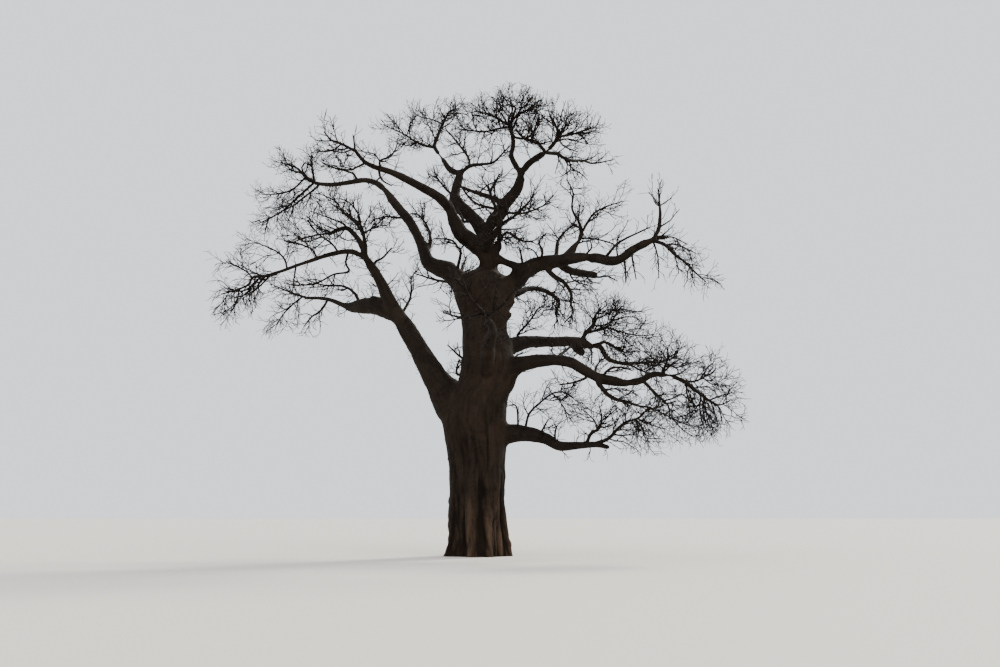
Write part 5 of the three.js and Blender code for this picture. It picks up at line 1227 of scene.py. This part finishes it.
def twigs_on(parents, rule_number, rule):
    """The twigs of one row of the rule on every parent, kept or not. Each leaves its parent at an angle,
    turned on by the golden angle from the one before, and takes its steps in a way that wanders and rises
    after each. Its length falls along the parent, and its radius evenly from foot to tip."""
    many = np.maximum(1, np.floor(parents["length"] / rule["every"] + 0.5).astype(int))
    owner = np.repeat(np.arange(len(many)), many)
    number = np.arange(len(owner)) - np.repeat(np.cumsum(many) - many, many)
    own_number = (number + 1 + 64 * rule_number).astype(np.uint32)
    ids = mixed(parents["id"][owner] + own_number * np.uint32(0x85EBCA6B))
    share = FIRST_TWIG + (1 - FIRST_TWIG) * ((number + 0.3 + 0.6 * chance(ids, 0)) / many[owner])
    last = parents["line"].shape[1] - 1
    along = np.minimum(share * last, last - 1e-9)
    span = along.astype(int)
    start, end = parents["line"][owner, span], parents["line"][owner, span + 1]
    ahead = unit(end[:, :3] - start[:, :3])
    foot = start + (end - start) * (along - span)[:, None]
    across = side_of(ahead)
    other = np.cross(ahead, across)
    roll = number * GOLDEN_ANGLE + 1.2 * (chance(ids, 1) - 0.5) + 2 * np.pi * chance(parents["id"][owner], 4)
    lean = np.radians(rule["lean"]) * (0.75 + 0.5 * chance(ids, 2))
    way = (ahead * np.cos(lean)[:, None] + across * (np.sin(lean) * np.cos(roll))[:, None]
           + other * (np.sin(lean) * np.sin(roll))[:, None])
    step = rule["length"] * (1.15 - 0.5 * share) * (0.7 + 0.6 * chance(ids, 3)) / rule["steps"]
    thick = np.minimum(rule["foot"] / 2, FOOT_SHARE * foot[:, 3])
    tip = np.minimum(rule["tip"] / 2, thick)
    line = np.empty((len(owner), rule["steps"] + 1, 4))
    line[:, 0] = np.column_stack([foot[:, :3], thick])
    for i in range(1, rule["steps"] + 1):
        line[:, i, :3] = line[:, i - 1, :3] + way * step[:, None]
        line[:, i, 3] = thick + (tip - thick) * i / rule["steps"]
        turn = np.stack([2 * chance(ids, 10 + k + 3 * i) - 1 for k in range(3)], 1)
        way = way + rule["wander"] * turn
        way[:, 2] += parents["rise"][owner] + rule["rise"]
        way = unit(way)
    return {"id": ids, "line": line, "length": step * rule["steps"], "rise": parents["rise"][owner],
            "spray": parents["spray"][owner]}


def kept(twigs, mask):
    """The twigs that a mask chooses."""
    return {key: values[mask] for key, values in twigs.items()}


def least_distance(points, balls):
    """From each point to the surface of the nearest ball, a few thousand points at a time."""
    least = np.full(len(points), np.inf)
    for low in range(0, len(points) if len(balls) else 0, POINTS_AT_ONCE):
        least[low : low + POINTS_AT_ONCE] = off_balls(points[low : low + POINTS_AT_ONCE], balls).min(1)
    return least


def within_reach(points):
    """Which points lie inside the box of the solids, let out by a fortieth of its sides."""
    low, high = np.array(CAD_BOX)
    let_out = (high - low) / 40
    return ((points > low - let_out) & (points < high + let_out)).all(-1)


def fits(twigs, rule, is_finer):
    """Which twigs stay within their spray's space, above the lowest height, and clear of limbs of other
    pieces. Of the finer ones, only as many are taken as the spray is full."""
    line = twigs["line"]
    parts = 4 if rule["length"] > 0.9 else 2
    share = (np.arange(parts) + 1) / parts
    balls = line[:, :-1, None] + (line[:, 1:, None] - line[:, :-1, None]) * share[:, None]
    balls = balls.reshape(len(line), -1, 4)
    good = (balls[:, :, 2] > LOWEST_TWIG).all(1) & within_reach(balls[:, :, :3]).all(1)
    for s, spray in enumerate(all_sprays):
        mine = np.flatnonzero(good & (twigs["spray"] == s))
        if not len(mine):
            continue
        some = balls[mine].reshape(-1, 4)
        full, reach = FULLNESS.get(spray["name"], FULLNESS[spray["region"]]) if is_finer else (1, 1)
        near = least_distance(some[:, :3], spray["balls"]) < spray["spread"] * reach
        low, high = some[:, :3].min(0) - 0.8, some[:, :3].max(0) + 0.8
        others = spray["others"]
        close = ((others[:, :3] > low) & (others[:, :3] < high)).all(1)
        clear = least_distance(some[:, :3], others[close]) > some[:, 3] + CLEAR_OF_LIMBS
        wanted = chance(twigs["id"][mine], 40) < full
        good[mine] = (near & clear).reshape(len(mine), -1).all(1) & wanted
    return good


def parents_from(ids, limbs, rises, owners):
    """Limbs in the form in which twigs grow on them: ids, lines at even shares, lengths, rises and
    owners."""
    return {"id": ids, "line": np.stack([at_even_shares(line) for line in limbs]),
            "length": np.array([steps_of(line).sum() for line in limbs]), "rise": np.array(rises),
            "spray": np.array(owners)}


stem_balls = [np.vstack([spaced(stem["line"], GUIDE_STEP) for stem in spray["stems"]])
              for spray in all_sprays]
bough_balls = np.vstack([spaced(line, GUIDE_STEP) for line in lines.values()])
for s, spray in enumerate(all_sprays):
    spray["balls"] = stem_balls[s]
    spray["others"] = np.vstack([bough_balls] + [stem_balls[o] for o in range(len(sprays)) if o != s])

stems = [(s, spray["rise"], stem) for s, spray in enumerate(all_sprays) for stem in spray["stems"]]
stem_ids = np.array([stem["id"] for *_, stem in stems], np.uint32)
levels = [parents_from(stem_ids, [stem["line"] for *_, stem in stems], [rise for _, rise, _ in stems],
                       [s for s, *_ in stems])]
for r, rule in enumerate(RULES):
    grown = [twigs_on(levels[level], r, rule) for level in rule["on"]]
    grown = {key: np.concatenate([twigs[key] for twigs in grown]) for key in grown[0]}
    levels.append(kept(grown, fits(grown, rule, r >= SOLIDS_ROWS)))

# Short shoots on the thinner parts of the boughs, and sprigs on the shoots. In place of a spray they hold
# their region, counted down from -1.
region_names = list(REGIONS)
bearing = []
for name, *_ in BOUGHS:
    thin = lines[name][lines[name][:, 3] < SHOOTS_BELOW]
    if len(thin) > 8:
        start = max((start for start in SHOOT_REGIONS if name.startswith(start)), key=len)
        bearing.append((-1 - region_names.index(SHOOT_REGIONS[start]), thin))
bearers = parents_from(mixed(np.arange(len(bearing)) + 70000), [line for _, line in bearing],
                       [SHOOTS["rise"]] * len(bearing), [owner for owner, _ in bearing])
shoots = twigs_on(bearers, 9, SHOOTS)
shoots = kept(shoots, within_reach(shoots["line"][:, :, :3]).all(1))
sprigs = twigs_on(shoots, 10, RULES[-1])
sprigs = kept(sprigs, within_reach(sprigs["line"][:, :, :3]).all(1))

spray_regions = np.array([region_names.index(spray["region"]) for spray in all_sprays])
twig_layers = [(levels[r + 1], rule["sides"]) for r, rule in enumerate(RULES)]
twig_layers += [(shoots, SHOOTS["sides"]), (sprigs, RULES[-1]["sides"])]


def crown_piece(region):
    """The stems, branches and twigs of one region as one piece: a tube round each line. A thick stem's tube
    starts inside the skin, where the skin runs out."""
    parts = []
    for stem in (stem for spray in all_sprays if spray["region"] == region for stem in spray["stems"]):
        thin = stem["bent"][max(0, stem["skinned"] - 1):]
        if len(thin) > 1:
            parts.append(tubes(thin[None], 9 if thin[0, 3] > 0.05 else 7))
    for twigs, sides in twig_layers:
        owner = twigs["spray"]
        regions = np.where(owner < 0, -1 - owner, spray_regions[np.maximum(owner, 0)])
        mine = twigs["line"][regions == region_names.index(region)]
        if len(mine):
            parts.append(tubes(mine, sides))
    return as_mesh(f"{region}_branches", *joined(parts))


crown_pieces = {region: crown_piece(region) for region in region_names}


# Bark


class Bark:
    """A material under construction: its nodes are added one after another and linked as they come."""

    def __init__(self, name):
        """An empty material with its surface shader, and the place on the piece that its patterns read."""
        self.material = bpy.data.materials.new(name)
        self.material.use_nodes = True
        self.tree = self.material.node_tree
        self.shader = self.tree.nodes["Principled BSDF"]
        self.places = self.node("ShaderNodeTexCoord").outputs["Object"]

    def node(self, kind, **inputs):
        """A node of a kind, with its named inputs fed. A low line in a name stands for a space."""
        made = self.tree.nodes.new(kind)
        for name, value in inputs.items():
            self.feed(made.inputs[name.replace("_", " ")], value)
        return made

    def feed(self, socket, value):
        """A socket linked to another node's output, or set to a plain value."""
        if isinstance(value, bpy.types.NodeSocket):
            self.tree.links.new(value, socket)
        else:
            socket.default_value = value

    def attribute(self, name, output="Fac"):
        """A value that the piece holds at each of its points."""
        made = self.node("ShaderNodeAttribute")
        made.attribute_name = name
        return made.outputs[output]

    def combined(self, operation, a, b):
        """Two values added or multiplied."""
        made = self.tree.nodes.new("ShaderNodeMath")
        made.operation = operation
        self.feed(made.inputs[0], a)
        self.feed(made.inputs[1], b)
        return made.outputs[0]

    def product(self, a, b):
        """One value times another."""
        return self.combined("MULTIPLY", a, b)

    def total(self, a, b):
        """One value plus another."""
        return self.combined("ADD", a, b)

    def stretched(self, vector, scale):
        """A place with each axis scaled, so that a pattern is drawn out along the axis scaled least."""
        return self.node("ShaderNodeMapping", Vector=vector, Scale=scale).outputs[0]

    def noise(self, vector, scale=1.0, detail=5.0, roughness=0.6):
        """Soft noise from 0 to 1 over a place."""
        made = self.node("ShaderNodeTexNoise", Vector=vector, Scale=scale, Detail=detail, Roughness=roughness)
        return made.outputs["Fac"]

    def between(self, value, low, high, out_low=0.0, out_high=1.0):
        """A value carried evenly from one range to another, and held at its ends."""
        made = self.node("ShaderNodeMapRange", Value=value)
        for name, number in zip(("From Min", "From Max", "To Min", "To Max"), (low, high, out_low, out_high)):
            made.inputs[name].default_value = number
        return made.outputs[0]

    def mix(self, share, one, other, how="MIX"):
        """One colour mixed with another by a share, or multiplied by it."""
        made = self.tree.nodes.new("ShaderNodeMix")
        made.data_type, made.blend_type = "RGBA", how
        self.feed(made.inputs[0], share)
        self.feed(made.inputs[6], one)
        self.feed(made.inputs[7], other)
        return made.outputs[2]

    def off_seams(self, value):
        """A value that fades to its middle where two limbs meet, as the pattern along them breaks there."""
        made = self.tree.nodes.new("ShaderNodeMix")
        self.feed(made.inputs[0], self.attribute("off_seams"))
        self.feed(made.inputs[2], 0.5)
        self.feed(made.inputs[3], value)
        return made.outputs[0]

    def finish(self, colour, roughness, height, strength, distance):
        """The colour, roughness and fine relief fed to the surface, which hardly shines."""
        bump = self.node("ShaderNodeBump", Height=height, Strength=strength, Distance=distance)
        self.feed(self.shader.inputs["Base Color"], colour)
        self.feed(self.shader.inputs["Roughness"], roughness)
        self.feed(self.shader.inputs["Normal"], bump.outputs[0])
        self.shader.inputs["Specular IOR Level"].default_value = 0.07
        return self.material


def skin_bark(name, colours, painted_light_foot):
    """Baobab bark: brown mottled with grey, paler streaks that follow the limb, with short cracks across and
    fine grain. Painted shade darkens it in its folds, and painted light brightens it where they are shallow.
    Where asked, painted light makes the foot of the trunk paler."""
    dark, brown, pale = colours
    bark = Bark(name)
    places = bark.places
    grain = bark.attribute("along_limb", "Vector")
    depth = bark.attribute("painted_fold_shade")
    mottle = bark.between(bark.noise(places, scale=1.1), 0.35, 0.68)
    streaks = bark.noise(bark.stretched(grain, (7.0, 7.0, 0.7)), detail=6.0, roughness=0.65)
    streak = bark.off_seams(bark.between(streaks, 0.42, 0.72))
    fine = bark.off_seams(bark.noise(bark.stretched(grain, (38.0, 38.0, 9.0)), roughness=0.7))
    crack = bark.off_seams(bark.noise(bark.stretched(grain, (4.0, 4.0, 22.0)), detail=3.0))
    speck = bark.noise(places, scale=26.0, roughness=0.7)
    colour = bark.mix(mottle, dark, brown)
    colour = bark.mix(bark.product(streak, 0.25), colour, pale)
    colour = bark.mix(bark.between(fine, 0.35, 0.7, 0.0, 0.35), colour, pale)
    # Painted light: a paler colour in specks on the trunk's foot, fading out upwards.
    if painted_light_foot:
        height = bark.node("ShaderNodeSeparateXYZ", Vector=places).outputs["Z"]
        foot_light = bark.product(bark.between(height, FOOT_LIGHT_TOP, 0.0), bark.between(speck, 0.3, 0.7, 0.15, 0.75))
        colour = bark.mix(foot_light, colour, FOOT_LIGHT_COLOUR)
    # Painted shade: darker where the folds are deeper, and painted light, up to 1.3 times brighter, where
    # there are none. The specks vary it at random.
    shade = bark.between(depth, 0.0, 0.75, 1.3, 0.2)
    shade = bark.product(shade, bark.between(speck, 0.3, 0.72, 0.78, 1.2))
    shades = bark.node("ShaderNodeCombineColor", Red=shade, Green=shade, Blue=shade).outputs[0]
    colour = bark.mix(1.0, colour, shades, "MULTIPLY")
    rough = bark.between(speck, 0.3, 0.75, 0.74, 0.93)
    height = bark.total(bark.product(fine, 0.7), bark.product(speck, 0.45))
    height = bark.total(height, bark.product(crack, 0.5))
    return bark.finish(colour, rough, height, strength=0.75, distance=0.03)


def twig_bark(name, colours):
    """The thin bark of stems and twigs: dark brown with painted shade, mottled, with paler spots."""
    dark, brown, pale = colours
    bark = Bark(name)
    mottle = bark.between(bark.noise(bark.places, scale=2.2, detail=4.0), 0.35, 0.68)
    speck = bark.noise(bark.places, scale=34.0, detail=4.0, roughness=0.7)
    colour = bark.mix(mottle, dark, brown)
    colour = bark.mix(bark.between(speck, 0.5, 0.75, 0.0, 0.6), colour, pale)
    return bark.finish(colour, bark.between(speck, 0.3, 0.7, 0.7, 0.9), speck, strength=0.5, distance=0.01)


# Each bark's dark, brown and pale colour, and the paler colour of painted light on the trunk's foot with the
# height where it ends.
# The barks' colours are far darker than the real bark's: painted shade, for a tree that stands against the
# light.
TRUNK_SHADE_DARKENED_COLOURS = [(0.009, 0.0056, 0.0037, 1), (0.02, 0.0128, 0.0085, 1), (0.045, 0.031, 0.0215, 1)]
BOUGH_SHADE_DARKENED_COLOURS = [(0.0066, 0.0044, 0.0032, 1), (0.0148, 0.0102, 0.0074, 1), (0.033, 0.0245, 0.0185, 1)]
FOOT_LIGHT_COLOUR = (0.11, 0.068, 0.042, 1)
FOOT_LIGHT_TOP = 2.6

trunk_look = skin_bark("folded trunk bark", TRUNK_SHADE_DARKENED_COLOURS, True)
bough_look = skin_bark("smoother bough bark", BOUGH_SHADE_DARKENED_COLOURS, False)
twig_look = twig_bark("twig bark", BOUGH_SHADE_DARKENED_COLOURS)

zone_boughs = {name: [] for name in zone_names}
for name, *_ in BOUGHS:
    zone_boughs[zone_names[zone_of(name)]].append(name)
for name, piece in skin_pieces.items():
    on_ground = name == "trunk_skin"
    piece.data.materials.append(trunk_look if on_ground else bough_look)
    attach(piece, "root")
    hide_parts(*(["trunk"] if on_ground else zone_boughs[name]))
for region, piece in crown_pieces.items():
    piece.data.materials.append(twig_look)
    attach(piece, "root")
    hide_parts(*REGIONS[region])


# Floor, light and camera


def floor_look():
    """A plain, pale, dull floor."""
    material = bpy.data.materials.new("pale floor")
    material.use_nodes = True
    shader = material.node_tree.nodes["Principled BSDF"]
    shader.inputs["Base Color"].default_value = (0.66, 0.62, 0.56, 1)
    shader.inputs["Roughness"].default_value = 0.9
    return material


def sun(name, azimuth, elevation, energy, softness, colour):
    """A soft lamp that shines from an azimuth, clockwise from +Y, and an elevation, both in degrees."""
    lamp = bpy.data.lights.new(name, "SUN")
    lamp.energy, lamp.angle, lamp.color = energy, math.radians(softness), colour
    holder = bpy.data.objects.new(name, lamp)
    bpy.context.scene.collection.objects.link(holder)
    turn, rise = math.radians(azimuth), math.radians(elevation)
    way = Vector((-math.sin(turn) * math.cos(rise), -math.cos(turn) * math.cos(rise), -math.sin(rise)))
    holder.rotation_euler = way.to_track_quat("-Z", "Y").to_euler()


bpy.ops.mesh.primitive_plane_add(size=900)
floor = bpy.context.object
floor.name = "floor"
floor.data.materials.append(floor_look())

world = bpy.data.worlds.new("pale studio")
world.use_nodes = True
world.node_tree.nodes["Background"].inputs["Color"].default_value = (0.86, 0.9, 0.95, 1)
world.node_tree.nodes["Background"].inputs["Strength"].default_value = 1.5
bpy.context.scene.world = world

sun("low sun behind", azimuth=38, elevation=34, energy=4.2, softness=12, colour=(1, 0.93, 0.82))
sun("front fill", azimuth=150, elevation=30, energy=0.9, softness=30, colour=(1, 0.96, 0.92))

camera = bpy.data.cameras.new("photo view")
camera.lens, camera.sensor_width, camera.clip_end = LENS_MM, 36, 2000
viewer = bpy.data.objects.new("photo view", camera)
bpy.context.scene.collection.objects.link(viewer)
viewer.location = (EYE_ACROSS, -SIGHT_DISTANCE, EYE_HEIGHT)
viewer.rotation_euler = (math.pi / 2 + TILT, 0, 0)
bpy.context.scene.camera = viewer
